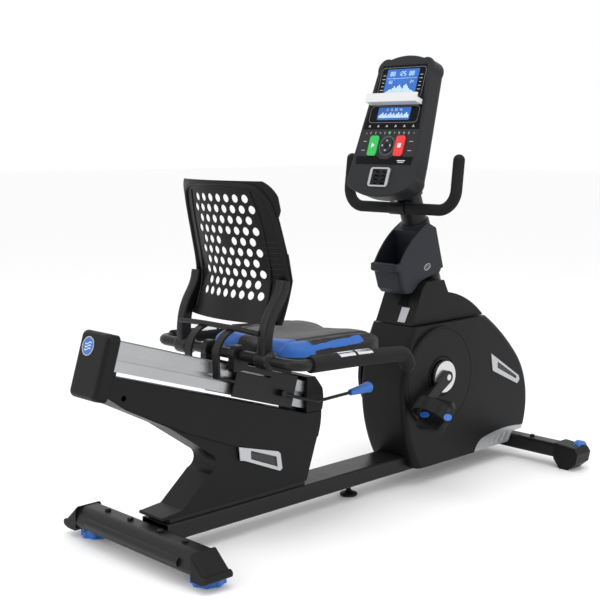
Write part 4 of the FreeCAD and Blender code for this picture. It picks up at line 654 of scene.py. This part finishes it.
# %% Fan outlet
grille = [rounded_box(0, 44.65 + 11.3 * n, 54, 3.0, 1.2, 2) for n in range(3)]
grille += [rounded_box(0, 39 + 11.3 * n, 54, 2.0, 0.9, 2) for n in range(4)]
grille += [rounded_box(0, 33.6, 56, 3.0, 1.2, 2), rounded_box(0, 78.2, 56, 3.0, 1.2, 2)]
grille += [rounded_box(u, 56, 3.2, 46, 1.2, 2) for u in (-26.5, 0, 26.5)]
plates("fan_grille", grille, 3.8, 4.6, on_console, black_plastic, "frame", rim=0.3)
print(len(grille), "bars over the fan")

# %% [markdown]
# ## Seat cushion
# The cushion is foam under stretched vinyl, so its sides pull in between the corners and its top is crowned.
# Blowing the plain solid up slightly with a cloth simulation gives that shape by itself. The seams are
# pressed in afterwards, because the remesh before the simulation would rub them out.

# %% Vinyl with fine leather grain
def vinyl_group():
    """Shared effect: pebbled leather grain with fine creases."""
    tree, given, result = effect("vinyl_grain", [("Scale", "Float", 420.0), ("Creases", "Float", 0.5)],
                                 [("Height", "Float")])
    where = put(tree, "TexCoord").outputs["Object"]
    bent = put(tree, "TexNoise", {"Vector": where, "Scale": 40.0, "Detail": 2.0}).outputs["Color"]
    moved = put(tree, "VectorMath", {0: bent, 1: (0.004, 0.004, 0.004)}, operation="MULTIPLY").outputs[0]
    shifted = put(tree, "VectorMath", {0: where, 1: moved}, operation="ADD").outputs[0]
    pebbles = put(tree, "TexVoronoi", {"Vector": shifted, "Scale": given["Scale"]},
                  feature="DISTANCE_TO_EDGE").outputs["Distance"]
    folds = put(tree, "TexNoise", {"Vector": where, "Scale": 30.0, "Detail": 4.0,
                                   "Distortion": 1.2}).outputs["Fac"]
    tree.links.new(math_node(tree, "ADD", math_node(tree, "MINIMUM", pebbles, 0.12),
                             math_node(tree, "MULTIPLY", math_node(tree, "MULTIPLY", folds, 0.15),
                                       given["Creases"])), result["Height"])


def vinyl(name, colour):
    """Upholstery vinyl of one colour."""
    material = bpy.data.materials.new(name)
    material.use_nodes = True
    tree = material.node_tree
    skin = tree.nodes["Principled BSDF"]
    toned = place_effect(tree, "tone_drift", {"Colour": (*colour, 1), "Amount": 0.35, "Dust": 0.03})
    gloss = place_effect(tree, "gloss_drift", {"Roughness": 0.46, "Spread": 0.2})
    height = place_effect(tree, "vinyl_grain", {"Scale": 420.0, "Creases": 0.6}).outputs[0]
    bump = put(tree, "Bump", {"Strength": 0.5, "Distance": 0.0008, "Height": height})
    tree.links.new(toned.outputs[0], skin.inputs["Base Color"])
    tree.links.new(gloss.outputs[0], skin.inputs["Roughness"])
    tree.links.new(bump.outputs[0], skin.inputs["Normal"])
    skin.inputs["Specular IOR Level"].default_value = 0.25
    skin.inputs["Sheen Weight"].default_value = 0.05
    skin.inputs["Sheen Roughness"].default_value = 0.4
    return material


vinyl_group()
black_vinyl = vinyl("black_vinyl", (0.007, 0.007, 0.0076))
blue_vinyl = vinyl("blue_vinyl", (0.020, 0.11, 0.40))
thread = vinyl("seam_thread", (0.03, 0.03, 0.032))
print("vinyl ready")


# %% Blow up the cushion
def soft_copy(name, node, shrink, voxel):
    """Copy of a solid that is remeshed into even small faces and drawn in slightly."""
    piece = bpy.data.objects.new(name, nodes[node].data.copy())
    bpy.context.collection.objects.link(piece)
    low, high = (Vector(corner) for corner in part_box(node))
    middle = (low + high) / 2
    for vertex in piece.data.vertices:
        for axis in range(3):
            half = (high[axis] - low[axis]) / 2
            away = vertex.co[axis] - middle[axis]
            vertex.co[axis] = middle[axis] + away * (half - shrink) / half
    remesh = piece.modifiers.new("even", "REMESH")
    remesh.mode, remesh.voxel_size = "VOXEL", voxel
    return bake(piece)


def bake(piece):
    """Apply every modifier of a piece to its mesh."""
    bpy.context.view_layer.update()
    seen = piece.evaluated_get(bpy.context.evaluated_depsgraph_get())
    mesh = bpy.data.meshes.new_from_object(seen)
    piece.modifiers.clear()
    piece.data = mesh
    return piece


def inflate(piece, pressure, cap):
    """Cloth under inner pressure for twenty frames. No point ends further than cap from its start."""
    before = [vertex.co.copy() for vertex in piece.data.vertices]
    cloth = piece.modifiers.new("blow", "CLOTH")
    cloth.settings.use_pressure = True
    cloth.settings.uniform_pressure_force = pressure
    cloth.settings.effector_weights.gravity = 0
    scene = bpy.context.scene
    for n in range(1, 21):
        scene.frame_set(n)
    bake(piece)
    scene.frame_set(1)
    for start, vertex in zip(before, piece.data.vertices):
        step = vertex.co - start
        if step.length > cap:
            vertex.co = start + step * cap / step.length
    return piece


cushion = soft_copy("seat_cushion_vinyl", "seat_cushion", 0.006, 0.006)
inflate(cushion, 4.0, 0.011)
print("cushion has", len(cushion.data.vertices), "points")


# %% Crown, waist and seams
def groove(distance, wide, deep):
    """Depth of a pressed-in seam at a distance from its line."""
    return deep * math.exp(-(distance / wide) ** 2)


low, high = (Vector(corner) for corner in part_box("seat_cushion"))
centre = (low + high) / 2
for vertex in cushion.data.vertices:
    x, y, z = vertex.co
    share_x = (x - centre.x) / (high.x - centre.x)
    share_y = y / high.y
    if z > centre.z:
        hollow = 0.012 * math.exp(-((x - centre.x) / 0.12) ** 2 - (y / 0.09) ** 2)
        lift = 0.011 * (1 - share_y ** 2) * (1 - share_x ** 2) - hollow
        side_seam = abs(abs(y) - 0.128 - 0.016 * share_x)
        cross_seam = abs(x - 0.012 + 0.25 * y * y)
        z += lift - groove(side_seam, 0.0045, 0.006) * (1.0 if x < 0.01 else 0.4) \
            - groove(cross_seam, 0.0045, 0.004) * (1.0 if abs(y) < 0.15 else 0.0)
    waist = groove(z - 0.470, 0.0035, 0.004)
    out = Vector((x - centre.x, y, 0))
    edge = max(abs(share_x), abs(share_y))
    if edge > 0.85 and out.length > 0:
        x, y = x - out.x / out.length * waist, y - out.y / out.length * waist
    vertex.co = (x, y, max(z, low.z))
smoothing = cushion.modifiers.new("finer", "SUBSURF")
smoothing.levels = smoothing.render_levels = 1
bake(cushion)
cushion.data.polygons.foreach_set("use_smooth", [True] * len(cushion.data.polygons))
cushion.data.materials.clear()
cushion.data.materials.append(black_vinyl)
cushion.data.materials.append(blue_vinyl)
for face in cushion.data.polygons:
    spot = face.center
    wing = spot.x < -0.235 + 0.3 * (abs(spot.y) - 0.16) and abs(spot.y) > 0.05
    side_band = spot.z > 0.486 and 0.158 < abs(spot.y) < 0.176 and spot.x < -0.06
    face.material_index = int(spot.z > 0.474 and (wing or side_band))
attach(cushion, "seat")
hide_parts("seat_cushion")
print("cushion top at", round(max(vertex.co.z for vertex in cushion.data.vertices), 3), "m")

# %% [markdown]
# ## Backrest details
# The side wings of the back carry thin raised ribs low down. Each rib is a fine bar laid on the shell, so
# its points are found by looking from behind towards the shell and taking the first surface met.

# %% Points on a solid
def surface_of(node):
    """Search tree over a solid's faces."""
    mesh = nodes[node].data
    return BVHTree.FromPolygons([vertex.co for vertex in mesh.vertices], [face.vertices for face in mesh.polygons])


back_surface = surface_of("backrest_shell")
ribs = []
for n in range(13):
    z = 0.606 + 0.0135 * n
    for side in (-1, 1):
        line = []
        for k in range(9):
            y = side * (0.122 + 0.006 * k)
            spot = back_surface.ray_cast(Vector((-0.7, y, z)), Vector((1, 0, 0)))[0]
            if spot:
                line.append(spot + Vector((-0.0002, 0, 0)))
        if len(line) > 3:
            ribs.append(line)
# The ribs take the lighter grey finish rather than the shell's black: a painted highlight along each ridge.
round_bar("back_ribs", ribs, 0.0009, grey_plastic, "seat", sides=8)
print(len(ribs), "ribs on the back")

# %% [markdown]
# ## Rear badge
# A round badge sits on the cap that closes the rail: a domed blue disc in a silver ring, with a plain wave of
# three bars.

# %% Badge on the rear cap
def on_rear_cap(u, v, height):
    """Point on the rear face of the rail cap: u to the right seen from behind, v up, in millimetres."""
    return on_rail(-37.4 - height, -u, -33 + v)


badge_u, badge_v = -14, 42
hoops("badge_ring", [(ring_points(badge_u, badge_v, 23, 56), 2.6)], -1.0, 1.1, on_rear_cap, silver_paint, "frame")
plates("badge_disc", [ring_points(badge_u, badge_v, 20.6, 56)], -1.0, 0.8, on_rear_cap, blue_plastic, "frame",
       rim=0.6)
waves = []
for n in (-1, 0, 1):
    top = [(badge_u + t, badge_v + 7 * n + 3 * math.sin(t / 4.4) + 1.3) for t in range(-12, 13, 2)]
    bottom = [(badge_u + t, badge_v + 7 * n + 3 * math.sin(t / 4.4) - 1.3) for t in range(12, -13, -2)]
    waves.append(bottom[::-1] + top[::-1])
plates("badge_waves", waves, 0.7, 1.05, on_rear_cap, print_white, "frame", rim=0.1)
print("badge on the rear cap")

# %% [markdown]
# ## Rim and legs of the back
# The shell of the back ends in a thick rounded rim, which stiffens it and catches the light along its edge.
# Two legs rise from clamps on the cross tube and lean outwards until they meet the side wings.

# %% Smooth lines
def rounded_line(points, rounds=3):
    """Line with its corners cut and cut again until it runs smoothly."""
    points = [Vector(point) for point in points]
    for _ in range(rounds):
        cut = [points[0]]
        for a, b in zip(points, points[1:]):
            cut += [a.lerp(b, 0.25), a.lerp(b, 0.75)]
        points = cut + [points[-1]]
    return points


def on_back(y, z, off=0.0):
    """Point on the rear side of the back, off metres behind it."""
    spot = back_surface.ray_cast(Vector((-0.7, y, z)), Vector((1, 0, 0)))[0]
    return spot + Vector((-off, 0, 0)) if spot else None


# %% Rim of the back
edge_line = [(0.166, 0.576), (0.171, 0.62), (0.175, 0.66), (0.172, 0.70), (0.170, 0.76), (0.166, 0.82),
             (0.158, 0.870), (0.138, 0.898), (0.100, 0.909), (0.0, 0.912)]
mirrored = [(-y, z) for y, z in edge_line[:-1]][::-1]
rim_line = [on_back(y, z, 0.0005) for y, z in edge_line + mirrored]
rim_line = rounded_line([spot for spot in rim_line if spot], 2)
round_bar("back_rim", [rim_line], 0.0062, black_plastic, "seat", sides=12)
inner_lines = []
for side in (-1, 1):
    spots = [on_back(side * y, z, 0.0) for y, z in
             ((0.132, 0.585), (0.132, 0.64), (0.132, 0.70), (0.130, 0.77), (0.127, 0.83), (0.112, 0.890))]
    inner_lines.append(rounded_line([spot for spot in spots if spot], 2))
round_bar("back_channel_edges", inner_lines, 0.0028, black_plastic, "seat", sides=8)
print(len(rim_line), "points along the rim")


# %% Legs of the back
def leg(name, line, sizes, material, body):
    """Leg of rounded rectangular section along a line. sizes holds the width and depth at each point."""
    points, faces = [], []
    section = [(math.copysign(abs(math.cos(t)) ** 0.45, math.cos(t)), math.copysign(abs(math.sin(t)) ** 0.45,
                math.sin(t))) for t in (2 * math.pi * (n + 0.5) / 20 for n in range(20))]
    line = [Vector(point) for point in line]
    for n, middle in enumerate(line):
        along = (line[min(n + 1, len(line) - 1)] - line[max(n - 1, 0)]).normalized()
        side = (Vector((0, 1, 0)) - along * along.y).normalized()
        deep = along.cross(side)
        wide, thick = sizes[n]
        points += [middle + side * a * wide / 2 + deep * b * thick / 2 for a, b in section]
    for n in range(len(line) - 1):
        for k in range(20):
            m = (k + 1) % 20
            faces.append((n * 20 + k, n * 20 + m, (n + 1) * 20 + m, (n + 1) * 20 + k))
    faces.append(tuple(reversed(range(20))))
    faces.append(tuple((len(line) - 1) * 20 + k for k in range(20)))
    piece = bare_mesh(name, points, faces)
    crisp_by_angle(piece.data, 50)
    return put_on(piece, material, body)


for label, side in (("right", -1), ("left", 1)):
    top = on_back(side * 0.166, 0.675, 0.009)
    line = rounded_line([(-0.396, side * 0.158, 0.485), (-0.400, side * 0.159, 0.530),
                         (-0.388, side * 0.161, 0.585), (top.x - 0.006, side * 0.165, 0.640), top], 2)
    sizes = [(0.028 + 0.006 * n / len(line), 0.038 - 0.018 * n / len(line)) for n in range(len(line))]
    leg("back_leg_" + label, line, sizes, black_coat, "seat")
    round_bar("back_clamp_" + label, [[(-0.395, side * 0.137, 0.481), (-0.395, side * 0.145, 0.481),
                                       (-0.395, side * 0.171, 0.481), (-0.395, side * 0.179, 0.481)]],
              0.0235, black_coat, "seat", sides=28)
    round_bar("back_pin_" + label, [[top + Vector((0.010, 0, -0.02)), top + Vector((0.0, 0, -0.02)),
                                     top + Vector((-0.0135, 0, -0.02))]], 0.0048, black_coat, "seat",
              sides=16)
cross = rounded_line([(-0.414, -0.150, 0.548), (-0.418, -0.08, 0.552), (-0.419, 0.0, 0.553),
                      (-0.418, 0.08, 0.552), (-0.414, 0.150, 0.548)], 2)
round_bar("back_cross_tube", [cross], 0.007, black_coat, "seat", sides=14)
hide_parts("backrest_frame")

# %% [markdown]
# ## Pedals and crank trim
# The pedal bodies carry a blue oval on the outer side. The cover over the crank has thin ring grooves, drawn as
# near-black rings of painted shade.

# %% Blue ovals on the pedals
for label, side in (("right", -1), ("left", 1)):
    low, high = (Vector(corner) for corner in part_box("pedal_" + label))
    middle = (low + high) / 2
    outer = (low.y if side < 0 else high.y)

    def on_pedal(u, v, height, middle=middle, outer=outer, side=side):
        """Point on the outer side of the pedal, in millimetres."""
        return Vector((middle.x - side * u / 1000, outer + side * height / 1000, middle.z + v / 1000))

    plates("pedal_oval_" + label, [ring_points(0, -4, 19, 36, 0.52, 14 * side)], -3.0, 0.8, on_pedal, blue_plastic,
           label + "_pedal", rim=0.6)
    hoops("pedal_oval_rim_" + label, [(ring_points(0, -4, 22, 36, 0.58, 14 * side), 1.6)], -3.0, 0.3, on_pedal,
          black_plastic, label + "_pedal")
    print("pedal", label, "outer side at y", round(outer, 3))


# %% Trim around the crank
def on_side(x, z, height, side=-1):
    """Point on the right or left side of the front body, in millimetres; height is away from the middle."""
    return Vector((x / 1000, side * height / 1000, z / 1000))


def right_side(u, v, height):
    return on_side(u, v, height, -1)


def left_side(u, v, height):
    return on_side(-u, v, height, 1)


disc_out = 97
# Painted shade: two near-black hoops stand for the dark grooves in the cover around the crank.
for label, place, sign in (("right", right_side, 1), ("left", left_side, -1)):
    hoops("crank_ring_shade_" + label, [(ring_points(sign * 366, 322, 61, 56), 3.2)], disc_out - 4, disc_out + 0.9,
          place, shade_black, "frame")
    hoops("disc_line_shade_" + label, [(ring_points(sign * 362, 318, 147, 96), 1.4)], disc_out - 4, disc_out + 0.35,
          place, shade_black, "frame")
print("crank trim in place")

# %% [markdown]
# ## Stitches on the cushion
# A row of short stitches runs beside each pressed-in seam. Each stitch is a small bar of thread that sits
# half in the vinyl.

# %% Stitches
cushion_surface = BVHTree.FromPolygons([vertex.co for vertex in cushion.data.vertices],
                                       [face.vertices for face in cushion.data.polygons])
stitches = []
for side in (-1, 1):
    x = -0.30
    while x < 0.004:
        line = []
        for k in (0.0, 0.0018, 0.0036):
            share_x = (x + k + 0.1425) / 0.1825
            y = side * (0.128 + 0.016 * share_x + 0.0062)
            spot = cushion_surface.ray_cast(Vector((x + k, y, 0.6)), Vector((0, 0, -1)))[0]
            if spot:
                line.append(spot)
        if len(line) == 3:
            stitches.append(line)
        x += 0.0058
round_bar("cushion_stitches", stitches, 0.00045, thread, "seat", sides=6)
print(len(stitches), "stitches")

# %% [markdown]
# ## Last small pieces
# The foot of the mast has a recess, drawn as a near-black plate of painted shade, with a silver strip under it,
# facing the rider. The bucket carries a plain ring as a mark. A flat face is found by looking straight at it, so
# that each plate sits on it exactly.

# %% Face of the mast cover
cover_slope = math.atan2(0.42, 0.91)


def on_cover(u, v, height):
    """Point on the rear face of the mast cover: u to the rider's right, v up the face, in millimetres."""
    s, c = math.sin(cover_slope), math.cos(cover_slope)
    return Vector((258.4 + v * s - height * c, -u, 484 + v * c + height * s)) / 1000


cover_surface = surface_of("shroud_top_cover")
start = on_cover(20, 25, 40)
met = cover_surface.ray_cast(start, (on_cover(20, 25, 0) - start).normalized())[0]
gap = 40 - (met - start).length * 1000
# Painted shade: the recess is a near-black plate on the face, not a hollow.
plates("cover_recess_shade", [[(-6, 54), (36, 54), (30, 92), (0, 92)]], gap - 1, gap + 0.4, on_cover, shade_black,
       "frame", rim=0.2)
plates("cover_strip", [[(13, 4), (41, 4), (44, 50), (14, 50)]], gap - 1, gap + 0.8, on_cover, silver_paint,
       "frame", rim=0.3)
print("cover face is", round(gap, 2), "mm from the drawn plane")

# %% Mark on the bucket and ovals on the pedal tops
bucket_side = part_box("mast_bucket")[0][1] * -1000
mark_rings = [(ring_points(346, 646, 15, 40, 0.62, 20), 1.8), (ring_points(346, 646, 9, 32, 0.55, 20), 1.2)]
hoops("bucket_mark", mark_rings, bucket_side - 1, bucket_side + 0.5, right_side, silver_paint, "frame")
for label, side, x, z in (("right", -1, 218.1, 239.5), ("left", 1, 480.9, 403.7)):
    surface = surface_of("pedal_" + label)

    def on_top(u, v, height, x=x, z=z, side=side, surface=surface):
        """Point on the sloping top of the pedal, in millimetres."""
        level = Vector(((x + 0.67 * v) / 1000, (side * 156 - u) / 1000, (z + 0.74 * v) / 1000))
        out = Vector((-0.74, 0, 0.67)).normalized()
        met = surface.ray_cast(level + out * 0.03, -out)[0]
        return (met if met else level) + out * height / 1000

    plates("pedal_blue_" + label, [ring_points(0, 0, 17, 30, 0.55)], -1.0, 0.9, on_top, blue_plastic,
           label + "_pedal", rim=0.5)
print("blue on both pedal tops")
